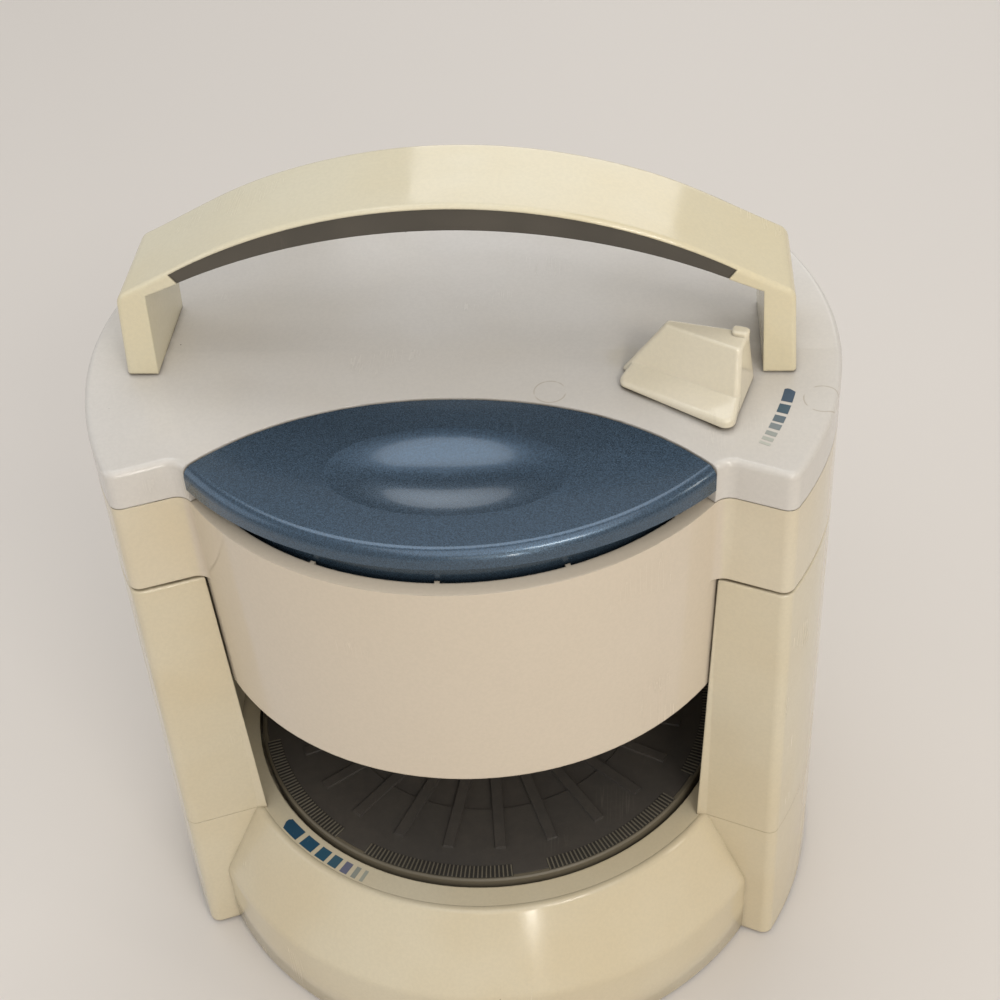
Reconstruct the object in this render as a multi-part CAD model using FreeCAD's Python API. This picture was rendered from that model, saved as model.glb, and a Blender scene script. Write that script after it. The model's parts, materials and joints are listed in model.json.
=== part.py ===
"""Electric jar opener: a jar stands on a powered turntable while three jaws in a sliding head hold its lid.

Frame: +Z up, +X to the user's right, -Y towards the user. The origin is on the turntable's axis, at the level
that the feet stand on. Millimetres and degrees.
"""
import FreeCAD, Part
import os
from math import sin, cos, tan, radians, degrees, pi, sqrt, atan, acos
from FreeCAD import Vector

# ---------------------------------------------------------------- driving dimensions: the casing
FOOT_STAND = 1.2            # the casing's lower rim above the table
FLOOR_R = 110.5             # outer radius of the round casing at the table
TOP_R = 107.0               # outer radius of the round casing at the cover
TOP_Z = 204.8               # level part of the cover
BACK_Y = 91.0               # flat back of the casing
BACK_CORNER_R = 9.0         # rounding of the two back corners
WALL = 2.6                  # moulded wall
COLUMN_IN_X = 72.6          # inner front corner of a column
COLUMN_IN_Y = -49.4
COLUMN_OUT_X = 91.0         # outer front corner of a column
COLUMN_OUT_Y = -56.4
COLUMN_CORNER_R = 3.5       # rounding of the outer front corner
RING_Z = 54.3               # flat ring round the turntable, and the joint between base and tower
HEAD_JOINT_Z = TOP_Z - 45.8  # joint between tower and head
JOINT_GAP = 0.9             # shadow gap between tower and head
COVER_GAP = 0.25            # fine line between head and cover
LIP_R = 0.7                 # rounding of the lips at the head joint
COVER_EDGE_R = 1.8          # rounding round the cover's top
COVER_JOINT_Z = TOP_Z - 15.4  # joint between head housing and cover
CREASE_Y = -5.0             # from here the cover slopes down towards the user
COVER_SLOPE = 0.064         # drop per millimetre of that slope

# ---------------------------------------------------------------- driving dimensions: base and turntable
RING_R = 87.6               # outer edge of the flat ring
SKIRT_R = 101.6             # front skirt
SKIRT_TOP_Z = 26.3
TURNTABLE_R = 78.0
TURNTABLE_GAP = 1.2         # between the turntable and the ring, all round
TURNTABLE_PROUD = 2.0       # the turntable's top above the ring
PLATTER_T = 4.6
MAT_T = 1.7
MAT_RIB_H = 0.7
MAT_RIBS = 25
MAT_RIB_W = 3.4
MAT_RIB_IN = 24.0
MAT_RIB_OUT = 66.2
MAT_STEP_R = 50.5
DECK_T = 2.6                # floor under the turntable
DECK_GAP = 1.0              # between that floor and the platter
SPINDLE_R = 6.0
RUNNING = 0.05              # radial clearance of a shaft in its bush
BUSH_WALL = 3.0
PAN_T = 2.6
FOOT_R = 9.0
FOOT_PITCH_R = 82.0
FOOT_CHAMFER = 0.8
PAN_SCREWS = (-18.0, 198.0, 48.0, 132.0)
PAN_SCREW_R = 94.0
SCREW_SHANK_R = 1.45
SCREW_HOLE_R = 1.5
CORD_X, CORD_Z, CORD_HOLE_R = -40.0, 22.0, 5.5

# ---------------------------------------------------------------- driving dimensions: turntable drive
GEAR_MODULE = 1.5
TURNTABLE_TEETH = 60
IDLER_BIG_TEETH = 36
IDLER_SMALL_TEETH = 12
PINION_TEETH = 12
GEAR_FACE = 6.0
GEAR_BACKLASH = 0.35        # play at the pitch line, shared by the two flanks
PLATE_T = 3.0
GEAR_PLATE_Z = 27.5
GEAR_PLATE_R = 74.0
IDLER_ANGLE = 150.0         # seen from above, from +X
MOTOR_ANGLE = 60.0          # from the idler's pin
MOTOR_R = 21.0
MOTOR_LOW_Z = 6.0
MOTOR_NOSE_R = 6.0
MOTOR_CHAMFER = 1.4
GEAR_PLATE_POSTS = (15.0, 262.0, 310.0)
POST_R = 4.0
POST_PITCH_R = 66.0
IDLER_PIN_R = 3.0
MOTOR_SHAFT_R = 2.5

# ---------------------------------------------------------------- driving dimensions: bay, head and guides
BAY_TOP_R = 87.8            # jar bay at the head joint
BAY_LOW_R = 85.2            # jar bay at the ring
APRON_GAP = 0.6             # between the columns' bay and the head's curved front apron
APRON_BOTTOM_Z = HEAD_JOINT_Z - 44.0
DRUM_IN_R = 83.4            # inside of the head's drum
APRON_RIBS = 5              # small upright ribs inside the apron, up to its rim
APRON_RIB_IN_R = 82.5
APRON_RIB_PITCH = 23.5      # degrees
CREASE_R = 5.0              # blend of the apron into the column blocks
HEAD_IN_X = 58.0            # the head's angled faces run on inwards to here, inside the apron
ROD_R = 5.0
ROD_X = 97.6
ROD_Y = 6.0
ROD_BOTTOM_Z = 24.0
ROD_GRIP = 24.0             # length of rod held in the head
ROD_CHAMFER = 0.9
BUSH_T = 1.18               # wall of a rod's bush
ROD_BUSH_L = 40.0
ROD_ROOM = 1.0              # free room round a rod where it passes the base's deck

# ---------------------------------------------------------------- driving dimensions: jaws and release lever
JAW_MODULE = 1.2
JAW_TEETH = 20
RELEASE_TEETH = 116
JAW_COUNT = 3
FIRST_JAW_ANGLE = 90.0
LEVER_TRAVEL = 12.0         # degrees, towards the back
JAW_PLATE_Z = TOP_Z - 70.8
JAW_PLATE_T = 4.0
JAW_GEAR_T = 5.0
JAW_GEAR_GAP = 1.2          # between the jaw plate and the gears on it
COVER_PLATE_GAP = 2.0       # between the release ring and the plate above it
JAW_SHAFT_R = 4.0
PLATE_SCREWS = (30.0, 150.0, 200.0, 281.0, 330.0)
PLATE_SCREW_R = 80.0
PLATE_SCREW_SHANK = 1.6
LID_PAD_R = 16.0
LID_PAD_T = 3.0
JAW_ARM_T = 11.0
JAW_ARM_REACH = 41.5        # pivot to the face of the pad
JAW_PAD_T = 3.0
RING_BAND = 3.6             # release ring outside its teeth
RISER_ANGLE = -22.0
RISER_HALF = 2.2            # half the riser's width, in degrees
RISER_T = 4.0
SLOT_ROOM = 0.6             # beside the riser in the cover's slot

LEVER_FOOT_Z = TOP_Z + 0.32  # the foot's level at LEVER_FOOT_Y in front of the axis
LEVER_FOOT_Y = 17.0
LEVER_FOOT_SLOPE = 0.052    # the foot falls towards the user, a little less than the cover
LEVER_SHELF_Z = HEAD_JOINT_Z + 47.2  # front edge of the shelf
LEVER_SHELF_SLOPE = 0.26
LEVER_LEDGE_Z = HEAD_JOINT_Z + 49.2  # level at which the wedge has its LEVER_LEDGE outline
LEVER_TOP_Z = TOP_Z + 16.2
LEVER_SHELF = [(44.3, -21.0), (75.2, -41.0), (78.2, -28.0), (49.2, -13.2)]
LEVER_LEDGE = [(47.9, -14.8), (76.9, -32.4), (81.7, -17.4), (51.0, -8.9)]
LEVER_CREST = [(57.1, -17.4), (77.0, -26.0), (80.9, -18.7), (57.6, -13.9)]
LEVER_NUB = [(75.0, -21.4), (79.2, -22.4), (80.2, -19.4), (75.4, -17.6)]
LEVER_SHELF_CORNER_R = 2.8
LEVER_CORNER_R = 1.4
LEVER_CREST_R = 1.0
LEVER_EDGE_R = 1.3
LEVER_NUB_R = 1.2
LEVER_NUB_H = 1.4
RISER_TOP_Z = COVER_JOINT_Z + 14.2  # the ring's riser meets the lever's stem here

# ---------------------------------------------------------------- driving dimensions: start button
BUTTON_TIP_X = 70.7
BUTTON_TIP_Y = -53.3
BUTTON_BACK_Y = -25.6
BUTTON_FRONT_Y = -84.0      # middle of the front edge's arc
BUTTON_BRIM_Z = TOP_Z - 10.5  # underside of the wide top, which overhangs the skirt
BUTTON_FRONT_R = 82.7       # skirt under the brim
BUTTON_FOOT_R = 81.2        # skirt at its foot
BUTTON_FOOT_Z = TOP_Z - 21.8
BUTTON_LOWER = 0.3          # the button's face below the cover's
BUTTON_TOP_T = 6.4          # from the cover's face to the button's inside
BUTTON_EDGE_R = 3.2
BUTTON_TRAVEL = 3.0
BUTTON_GAP = 0.5
BUTTON_WALL = 2.4
DISH_X, DISH_Y, DISH_DEPTH = 35.0, 18.0, 2.6
DISH_EASE = 0.03            # the dish's soft edge is lifted clear of the face by this share of its depth
DISH_REACH = 0.97           # where the cutter ends, as a share of the dish's half sizes
DISH_CENTRE_Y = -53.5
BUTTON_POST_X = 38.0
BUTTON_POST_Y = -56.0
BUTTON_POST_R = 3.0
SPRING_R = 4.8
SPRING_WIRE_R = 0.6
SPRING_TURNS = 6.0
SPRING_TOP_Z = TOP_Z - 10.8
SWITCH_TOP_Z = TOP_Z - 28.8

# ---------------------------------------------------------------- driving dimensions: handle
HANDLE_FRONT_Y = -15.4
HANDLE_BACK_Y = 18.0
HANDLE_TOP_Z = TOP_Z + 53.5
HANDLE_ARCH_R = 158.0       # top of the arch
SHOULDER_X = 80.0           # from here the arch runs out flatter to the legs
GRIP_ARCH_R = 182.0         # underside of the grip
GRIP_BOTTOM_Z = HEAD_JOINT_Z + 91.7
GRIP_END_X = 76.0
GRIP_END_SLANT = 2.0        # the grip's underside ends this much further in
GRIP_WRAP = 2.4             # grip's wall round the handle's core
CORE_SHORTER = 10.0         # the core stops this far before the grip's end
HANDLE_SKIN = 1.1           # the arch's thickness over the grip
LEG_IN_X = 84.5
LEG_TOP_IN_X = 83.4
LEG_TOP_IN_Z = TOP_Z + 26.2
LEG_OUT_X = 93.6
LEG_TOP_OUT_X = 91.9
LEG_TOP_OUT_Z = LEG_TOP_IN_Z - 0.4
LEG_CORNER_R = 4.5          # outer corner where the arch turns down into a leg
HANDLE_BACK_R = 2.6         # rounding along the back
HANDLE_FRONT_R = 1.4        # rounding along the front

BIG = 400.0
turntable_top_z = RING_Z + TURNTABLE_PROUD
platter_bottom_z = turntable_top_z - MAT_T - PLATTER_T
deck_top_z = platter_bottom_z - DECK_GAP
deck_bottom_z = deck_top_z - DECK_T
turntable_gear_z = deck_bottom_z - 2.0 - GEAR_FACE
idler_big_z = turntable_gear_z - 0.6 - GEAR_FACE + 0.5
gear_plate_top_z = GEAR_PLATE_Z + PLATE_T
jaw_gear_z = JAW_PLATE_Z + JAW_PLATE_T + JAW_GEAR_GAP
cover_plate_z = jaw_gear_z + JAW_GEAR_T + COVER_PLATE_GAP
idler_distance = GEAR_MODULE * (TURNTABLE_TEETH + IDLER_SMALL_TEETH) / 2
motor_distance = GEAR_MODULE * (IDLER_BIG_TEETH + PINION_TEETH) / 2
idler_at = Vector(idler_distance * cos(radians(IDLER_ANGLE)), idler_distance * sin(radians(IDLER_ANGLE)), 0)
turntable_gear_turn = IDLER_ANGLE                                   # a tooth on the line to the idler
idler_small_turn = IDLER_ANGLE + 180 + 180.0 / IDLER_SMALL_TEETH     # a gap facing it
idler_big_turn = MOTOR_ANGLE                                        # a tooth on the line to the motor
pinion_turn = MOTOR_ANGLE + 180 + 180.0 / PINION_TEETH
motor_at = idler_at + Vector(motor_distance * cos(radians(MOTOR_ANGLE)),
                             motor_distance * sin(radians(MOTOR_ANGLE)), 0)
jaw_pivot_r = JAW_MODULE * (RELEASE_TEETH - JAW_TEETH) / 2
release_pitch_r = JAW_MODULE * RELEASE_TEETH / 2
release_out_r = release_pitch_r + 1.25 * JAW_MODULE + RING_BAND
pan_top_z = FOOT_STAND + PAN_T


def casing_r(z):
    """Outer radius of the drafted round casing at a height."""
    return FLOOR_R + (TOP_R - FLOOR_R) * z / TOP_Z


def bay_r(z):
    """Radius of the drafted jar bay at a height."""
    return BAY_LOW_R + (BAY_TOP_R - BAY_LOW_R) * (z - RING_Z) / (HEAD_JOINT_Z - RING_Z)


def apron_r(z):
    """Radius of the head's drafted front apron, which follows the jar bay."""
    return bay_r(z) - APRON_GAP


def at_angle(radius, angle, z=0.0):
    return Vector(radius * cos(radians(angle)), radius * sin(radians(angle)), z)


def cylinder(radius, z0, z1, centre=Vector(0, 0, 0)):
    return Part.makeCylinder(radius, z1 - z0, Vector(centre.x, centre.y, z0))


def tube(outer, inner, z0, z1, centre=Vector(0, 0, 0)):
    return cylinder(outer, z0, z1, centre).cut(cylinder(inner, z0 - 1, z1 + 1, centre))


def box(x0, x1, y0, y1, z0, z1):
    return Part.makeBox(x1 - x0, y1 - y0, z1 - z0, Vector(x0, y0, z0))


def prism(points, z0, z1):
    """A straight prism on a closed outline given as (x, y) corners."""
    corners = [Vector(x, y, z0) for x, y in points]
    wire = Part.makePolygon(corners + corners[:1])
    return Part.Face(wire).extrude(Vector(0, 0, z1 - z0))


def revolved(points):
    """A solid of revolution about Z from a closed (radius, z) outline."""
    corners = [Vector(r, 0, z) for r, z in points]
    face = Part.Face(Part.makePolygon(corners + corners[:1]))
    return face.revolve(Vector(0, 0, 0), Vector(0, 0, 1), 360)


def one(shape):
    """Fused shapes as one clean solid or compound of solids."""
    shape = shape.removeSplitter()
    solids = shape.Solids
    return solids[0] if len(solids) == 1 else Part.makeCompound(solids)


def fuse(first, *others):
    return one(first.multiFuse(list(others))) if others else first


def cut(first, *tools):
    return one(first.cut(Part.makeCompound(list(tools))))


def filleted(shape, radius, wanted):
    """Round every edge that `wanted` picks, one at a time where a group is refused."""
    edges = [e for e in shape.Edges if wanted(e)]
    return shape.makeFillet(radius, edges) if edges else shape


def chamfered(shape, size, wanted):
    """Bevel every edge that `wanted` picks."""
    return shape.makeChamfer(size, [e for e in shape.Edges if wanted(e)])


def upright_near(x, y, reach, z0=-BIG, z1=BIG):
    """Picks near-vertical edges that pass close to a place in plan, on either side."""
    def wanted(edge):
        a, b = edge.Vertexes[0].Point, edge.Vertexes[-1].Point
        middle = (a + b) * 0.5
        steep = abs(a.z - b.z) > 0.8 * edge.Length and edge.Length > 3
        near = abs(abs(middle.x) - x) < reach and abs(middle.y - y) < reach
        return steep and near and z0 < middle.z < z1
    return wanted


# ---------------------------------------------------------------- casing outlines
def casing_front(z0, z1, inset=0.0, in_x=COLUMN_IN_X, in_y=COLUMN_IN_Y, out_x=COLUMN_OUT_X,
                 out_y=COLUMN_OUT_Y):
    """What lies in front of the two angled column faces, moved back by the inset."""
    slope = (out_y - in_y) / (out_x - in_x)
    back = inset * sqrt(1 + slope * slope)
    far_x = 140.0
    far_y = in_y + slope * (far_x - in_x) + back
    points = [(-far_x, far_y), (-in_x, in_y + back), (in_x, in_y + back), (far_x, far_y), (far_x, -BIG),
              (-far_x, -BIG)]
    return prism(points, z0, z1)


def casing(z0, z1, inset=0.0, in_x=COLUMN_IN_X):
    """The drafted D-shaped block between two heights: round sides, flat back, angled column faces.

    The head's own blocks carry the angled faces further in, to `in_x`, where they run into the apron.
    """
    in_y = COLUMN_IN_Y + (in_x - COLUMN_IN_X) * (COLUMN_OUT_Y - COLUMN_IN_Y) / (COLUMN_OUT_X - COLUMN_IN_X)
    round_part = Part.makeCone(casing_r(z0) - inset, casing_r(z1) - inset, z1 - z0, Vector(0, 0, z0))
    back_part = box(-BIG, BIG, BACK_Y - inset, BIG, z0 - 1, z1 + 1)
    block = cut(round_part, back_part, casing_front(z0 - 1, z1 + 1, inset, in_x, in_y))
    corner_x = sqrt(casing_r(0.5 * (z0 + z1)) ** 2 - BACK_Y ** 2)
    block = filleted(block, max(BACK_CORNER_R - inset, 2.0), upright_near(corner_x, BACK_Y, 12))
    return filleted(block, max(COLUMN_CORNER_R - inset, 0.8), upright_near(COLUMN_OUT_X, COLUMN_OUT_Y, 8))


def slope_cut(top_z):
    """Everything above the cover's surface: level at the back, sloping down to the user from the crease."""
    profile = [(BIG, top_z), (CREASE_Y, top_z), (-BIG / 2, top_z + COVER_SLOPE * (-BIG / 2 - CREASE_Y)),
               (-BIG / 2, BIG), (BIG, BIG)]
    corners = [Vector(-BIG, y, z) for y, z in profile]
    return Part.Face(Part.makePolygon(corners + corners[:1])).extrude(Vector(2 * BIG, 0, 0))


# ---------------------------------------------------------------- gears
def gear_outline(teeth, module, play, grow=0.0, inner=False):
    """Corners of a spur gear with straight-sided segments along each involute flank, tooth centred on +X.

    An inner gear's cutter has its tip where the ring's root is, and its play makes the ring's teeth thinner.
    """
    pitch = module * teeth / 2
    base = pitch * cos(radians(20))
    tip = pitch + module * (1.2 if inner else 0.95)
    root = pitch - module * (0.92 if inner else 1.2)
    half = pi / (2 * teeth) + (play if inner else -play) / (2 * pitch)
    def flank_half_angle(r):
        pressure = acos(min(1.0, base / r))
        rolled = tan(pressure) - pressure
        at_pitch = tan(radians(20)) - radians(20)
        return half + at_pitch - rolled
    start = max(root, base * 1.001)
    radii = [start + (tip - start) * k / 2 for k in range(3)]
    points = []
    for n in range(teeth):
        middle = 2 * pi * n / teeth
        low = flank_half_angle(start)
        left = [(root, -low)] if root < start else []
        left += [(r, -flank_half_angle(r)) for r in radii]
        right = [(r, -a) for r, a in reversed(left)]
        points += [((r + grow) * cos(middle + a), (r + grow) * sin(middle + a)) for r, a in left + right]
    return points


def spur_gear(teeth, module, z0, face, bore_r, play, turn=0.0, centre=Vector(0, 0, 0)):
    gear = prism(gear_outline(teeth, module, play), z0, z0 + face)
    gear = cut(gear, cylinder(bore_r, z0 - 1, z0 + face + 1))
    gear.rotate(Vector(0, 0, 0), Vector(0, 0, 1), turn)
    gear.translate(centre)
    return gear


# ---------------------------------------------------------------- base
def base_shell():
    outside = revolved([(0, FOOT_STAND), (SKIRT_R, FOOT_STAND), (SKIRT_R, SKIRT_TOP_Z), (RING_R, RING_Z),
                        (0, RING_Z)])
    outside = outside.cut(box(-BIG, BIG, BACK_Y, BIG, 0, RING_Z + 1))
    outside = fuse(outside, casing(FOOT_STAND, RING_Z))
    deck_r = TURNTABLE_R + TURNTABLE_GAP
    slope_in = WALL * 1.12
    inside = revolved([(0, 0), (SKIRT_R - WALL, 0), (SKIRT_R - WALL, SKIRT_TOP_Z - 1.3),
                       (RING_R - slope_in + 1.3, RING_Z - WALL), (deck_r + WALL, RING_Z - WALL),
                       (deck_r + WALL, deck_bottom_z), (0, deck_bottom_z)])
    inside = inside.cut(box(-BIG, BIG, BACK_Y - WALL, BIG, -1, RING_Z + 1))
    side_space = casing(0, RING_Z - WALL, WALL).cut(cylinder(deck_r + WALL, deck_bottom_z, RING_Z))
    well = cylinder(deck_r, deck_top_z, RING_Z + 1)
    shell = cut(outside, inside, side_space, well)
    boss_r = SPINDLE_R + RUNNING + BUSH_WALL + 2.4
    bosses = [cylinder(boss_r, turntable_gear_z + GEAR_FACE + 0.8, deck_bottom_z + 0.5)]
    for angle in GEAR_PLATE_POSTS:
        bosses.append(cylinder(POST_R, gear_plate_top_z, deck_bottom_z + 0.5, at_angle(POST_PITCH_R, angle)))
    bosses.append(cylinder(5.0, turntable_gear_z + GEAR_FACE + 0.6, deck_bottom_z + 0.5, idler_at))
    for angle in PAN_SCREWS:
        bosses.append(cylinder(4.0, pan_top_z, RING_Z - WALL, at_angle(PAN_SCREW_R, angle)))
    shell = fuse(shell, *bosses)
    holes = [cylinder(SPINDLE_R + RUNNING + BUSH_WALL, 0, RING_Z)]
    holes += [cylinder(SCREW_HOLE_R, 0, deck_bottom_z - 2, at_angle(POST_PITCH_R, angle))
              for angle in GEAR_PLATE_POSTS]
    holes += [cylinder(SCREW_HOLE_R, 0, 18, at_angle(PAN_SCREW_R, a)) for a in PAN_SCREWS]
    holes.append(cylinder(IDLER_PIN_R, 0, deck_bottom_z, idler_at))
    holes.append(cord_hole())
    holes += [cylinder(ROD_R + ROD_ROOM, RING_Z - 2 * WALL, RING_Z + 1, p) for p in rod_places()]
    return cut(shell, *holes)


def cord_hole():
    return Part.makeCylinder(CORD_HOLE_R, 20, Vector(CORD_X, BACK_Y - 10, CORD_Z), Vector(0, 1, 0))


def cord_bush():
    """The moulded bush that the supply lead would leave through, clipped in the back wall."""
    body = Part.makeCylinder(CORD_HOLE_R - 0.15, WALL + 6, Vector(CORD_X, BACK_Y - WALL - 2.5, CORD_Z),
                             Vector(0, 1, 0))
    flange = Part.makeCylinder(CORD_HOLE_R + 2, 1.8, Vector(CORD_X, BACK_Y, CORD_Z), Vector(0, 1, 0))
    nut = Part.makeCylinder(CORD_HOLE_R + 2, 2.2, Vector(CORD_X, BACK_Y - WALL - 2.3, CORD_Z),
                            Vector(0, 1, 0))
    bore = Part.makeCylinder(3.2, 30, Vector(CORD_X, BACK_Y - 15, CORD_Z), Vector(0, 1, 0))
    return cut(fuse(body, flange, nut), bore)


def bottom_pan():
    fit = WALL + 0.25
    pan = revolved([(0, FOOT_STAND), (SKIRT_R - fit, FOOT_STAND), (SKIRT_R - fit, pan_top_z), (0, pan_top_z)])
    pan = pan.cut(box(-BIG, BIG, BACK_Y - fit, BIG, 0, RING_Z))
    pan = fuse(pan, casing(FOOT_STAND, pan_top_z, fit))
    cuts = [cylinder(1.9, 0, pan_top_z + 1, at_angle(PAN_SCREW_R, a)) for a in PAN_SCREWS]
    cuts += [cylinder(3.6, 0, FOOT_STAND + 1.0, at_angle(PAN_SCREW_R, a)) for a in PAN_SCREWS]
    for n in range(-4, 5):
        cuts.append(box(n * 9 - 1.6, n * 9 + 1.6, -52, -22, 0, pan_top_z + 1))
    cuts += [cylinder(FOOT_R + 0.2, 0, FOOT_STAND + 1.2, place) for place in foot_places()]
    return cut(pan, *cuts)


def foot_places():
    return [at_angle(FOOT_PITCH_R, a) for a in (-135, -45, 35, 145)]


def feet():
    pads = []
    for place in foot_places():
        pad = cylinder(FOOT_R, 0, FOOT_STAND + 1.2, place)
        pads.append(chamfered(pad, FOOT_CHAMFER, level_edge(0)))
    return Part.makeCompound(pads)


def pan_screws():
    heads = [at_angle(PAN_SCREW_R, a, FOOT_STAND + 0.1) for a in PAN_SCREWS]
    return Part.makeCompound([screw(SCREW_SHANK_R, 14.0, 3.3, 0.9, head) for head in heads])


def screw(shank_r, length, head_r, head_t, at, down=False):
    """A pan-head screw pointing up from its head, or down when asked."""
    body = fuse(cylinder(head_r, 0, head_t), cylinder(shank_r, 0, length))
    slot = fuse(box(-head_r * 0.6, head_r * 0.6, -0.4, 0.4, -1, head_t * 0.5),
                box(-0.4, 0.4, -head_r * 0.6, head_r * 0.6, -1, head_t * 0.5))
    body = cut(body, slot)
    if down:
        body.rotate(Vector(0, 0, 0), Vector(1, 0, 0), 180)
    body.translate(at)
    return body


# ---------------------------------------------------------------- turntable and its drive
def turntable_platter():
    top = platter_bottom_z + PLATTER_T
    rim = revolved([(0, platter_bottom_z), (TURNTABLE_R - 2.5, platter_bottom_z),
                    (TURNTABLE_R, platter_bottom_z + 1.4), (TURNTABLE_R, turntable_top_z - 0.5),
                    (TURNTABLE_R - 0.5, turntable_top_z),
                    (TURNTABLE_R - 1.6, turntable_top_z), (TURNTABLE_R - 1.6, top), (0, top)])
    return cut(rim, cylinder(SPINDLE_R, 0, top + 1))


def turntable_mat():
    z0 = platter_bottom_z + PLATTER_T
    mat_r = TURNTABLE_R - 1.7
    mat = revolved([(0, z0), (mat_r, z0), (mat_r, z0 + MAT_T), (MAT_STEP_R, z0 + MAT_T),
                    (MAT_STEP_R - 0.5, z0 + MAT_T - 0.5), (0, z0 + MAT_T - 0.5)])
    ribs = []
    for n in range(MAT_RIBS):
        rib = box(MAT_RIB_IN, MAT_RIB_OUT, -MAT_RIB_W / 2, MAT_RIB_W / 2, z0 + 0.4, z0 + MAT_T + MAT_RIB_H)
        rib.rotate(Vector(0, 0, 0), Vector(0, 0, 1), 360.0 * n / MAT_RIBS - 97.6)
        ribs.append(rib)
    return fuse(mat, *ribs)


def turntable_spindle():
    top = platter_bottom_z + PLATTER_T - 0.3
    bottom = GEAR_PLATE_Z - 2.5
    shaft = fuse(cylinder(SPINDLE_R, bottom, top), cylinder(SPINDLE_R + 3, platter_bottom_z - 0.6,
                                                            platter_bottom_z))
    groove = tube(SPINDLE_R + 1, SPINDLE_R - 1.0, GEAR_PLATE_Z - 1.9, GEAR_PLATE_Z - 0.7)
    return cut(shaft, groove)


def retaining_clip():
    z0 = GEAR_PLATE_Z - 1.8
    ring = tube(SPINDLE_R + 3.0, SPINDLE_R - 0.95, z0, z0 + 1.0)
    return cut(ring, box(-3.2, 3.2, -20, -2, z0 - 1, z0 + 2))


def turntable_bush():
    z1 = deck_top_z
    return tube(SPINDLE_R + RUNNING + BUSH_WALL - 0.02, SPINDLE_R + RUNNING,
                turntable_gear_z + GEAR_FACE + 0.8, z1)


def turntable_gear():
    gear = spur_gear(TURNTABLE_TEETH, GEAR_MODULE, turntable_gear_z, GEAR_FACE, SPINDLE_R, GEAR_BACKLASH / 2,
                     turntable_gear_turn)
    low, high = turntable_gear_z - 1, turntable_gear_z + GEAR_FACE + 1
    return cut(gear, *[cylinder(8.5, low, high, at_angle(27, a)) for a in range(0, 360, 60)])


def idler_gear():
    bore = IDLER_PIN_R + RUNNING
    big = spur_gear(IDLER_BIG_TEETH, GEAR_MODULE, idler_big_z, GEAR_FACE - 0.5, bore, GEAR_BACKLASH / 2,
                    idler_big_turn)
    small_z = idler_big_z + GEAR_FACE - 0.6
    small = spur_gear(IDLER_SMALL_TEETH, GEAR_MODULE, small_z, turntable_gear_z + GEAR_FACE - small_z, bore,
                      GEAR_BACKLASH / 2, idler_small_turn)
    gear = fuse(big, small)
    gear.translate(idler_at)
    return gear


def idler_pin():
    return cylinder(IDLER_PIN_R, GEAR_PLATE_Z, deck_bottom_z - 0.3, idler_at)


def motor_pinion():
    pinion = spur_gear(PINION_TEETH, GEAR_MODULE, idler_big_z, GEAR_FACE - 0.5, MOTOR_SHAFT_R,
                       GEAR_BACKLASH / 2, pinion_turn, motor_at)
    shaft = cylinder(MOTOR_SHAFT_R, GEAR_PLATE_Z - 0.5, idler_big_z + GEAR_FACE + 0.6, motor_at)
    return fuse(pinion, shaft)


def drive_motor():
    top = GEAR_PLATE_Z
    can = cylinder(MOTOR_R, MOTOR_LOW_Z, top - 5, motor_at)
    can = chamfered(can, MOTOR_CHAMFER, level_edge(MOTOR_LOW_Z))
    gearcase = cylinder(MOTOR_R + 1.5, top - 5.2, top - 0.8, motor_at)
    nose = cylinder(MOTOR_NOSE_R, top - 1, top + PLATE_T - 0.4, motor_at)
    tail = cylinder(5.0, pan_top_z + 0.4, MOTOR_LOW_Z + 0.5, motor_at)
    return cut(fuse(can, gearcase, nose, tail), cylinder(MOTOR_SHAFT_R + 0.1, top - 1, top + 10, motor_at))


def gear_plate():
    plate = cylinder(GEAR_PLATE_R, GEAR_PLATE_Z, gear_plate_top_z)
    ear = cylinder(MOTOR_R + 5, GEAR_PLATE_Z, gear_plate_top_z, motor_at)
    plate = fuse(plate, ear)
    cuts = [cylinder(SPINDLE_R + RUNNING, 0, 60), cylinder(IDLER_PIN_R, 0, 60, idler_at)]
    cuts.append(cylinder(MOTOR_NOSE_R + 0.1, 0, 60, motor_at))
    cuts += [cylinder(1.7, 0, 60, at_angle(POST_PITCH_R, a)) for a in GEAR_PLATE_POSTS]
    for a in (35, 285, 215, 330):
        cuts.append(cylinder(12.0, 0, 60, at_angle(44, a)))
    return cut(plate, *cuts)


def gear_plate_screws():
    heads = [screw(SCREW_SHANK_R, 14.0, 3.2, 1.6, at_angle(POST_PITCH_R, a,
                                                           GEAR_PLATE_Z - 1.6)) for a in GEAR_PLATE_POSTS]
    return Part.makeCompound(heads)


# ---------------------------------------------------------------- tower and guides
def rod_places():
    return [Vector(side * ROD_X, ROD_Y, 0) for side in (-1, 1)]


def tower_housing():
    z0, z1 = RING_Z, HEAD_JOINT_Z - JOINT_GAP
    bay = Part.makeCone(bay_r(z0), bay_r(z1 + 1), z1 + 1 - z0, Vector(0, 0, z0))
    block = filleted(casing(z0, z1), LIP_R, level_edge(z1))
    block = cut(block, bay)
    lining = Part.makeCone(bay_r(z0) + WALL, bay_r(z1) + WALL, z1 - z0, Vector(0, 0, z0))
    space = cut(casing(z0 - 1, z1 - WALL, WALL), lining)
    shell = cut(block, space)
    sleeves = [cylinder(ROD_R + RUNNING + 2.2, z1 - ROD_BUSH_L, z1, p) for p in rod_places()]
    shell = fuse(shell, *[s.common(casing(z0, z1, 0.5)) for s in sleeves])
    holes = [cylinder(ROD_R + RUNNING + BUSH_T + 0.02, z1 - ROD_BUSH_L - 1, z1 + 1, p) for p in rod_places()]
    return cut(shell, *holes)


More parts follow.
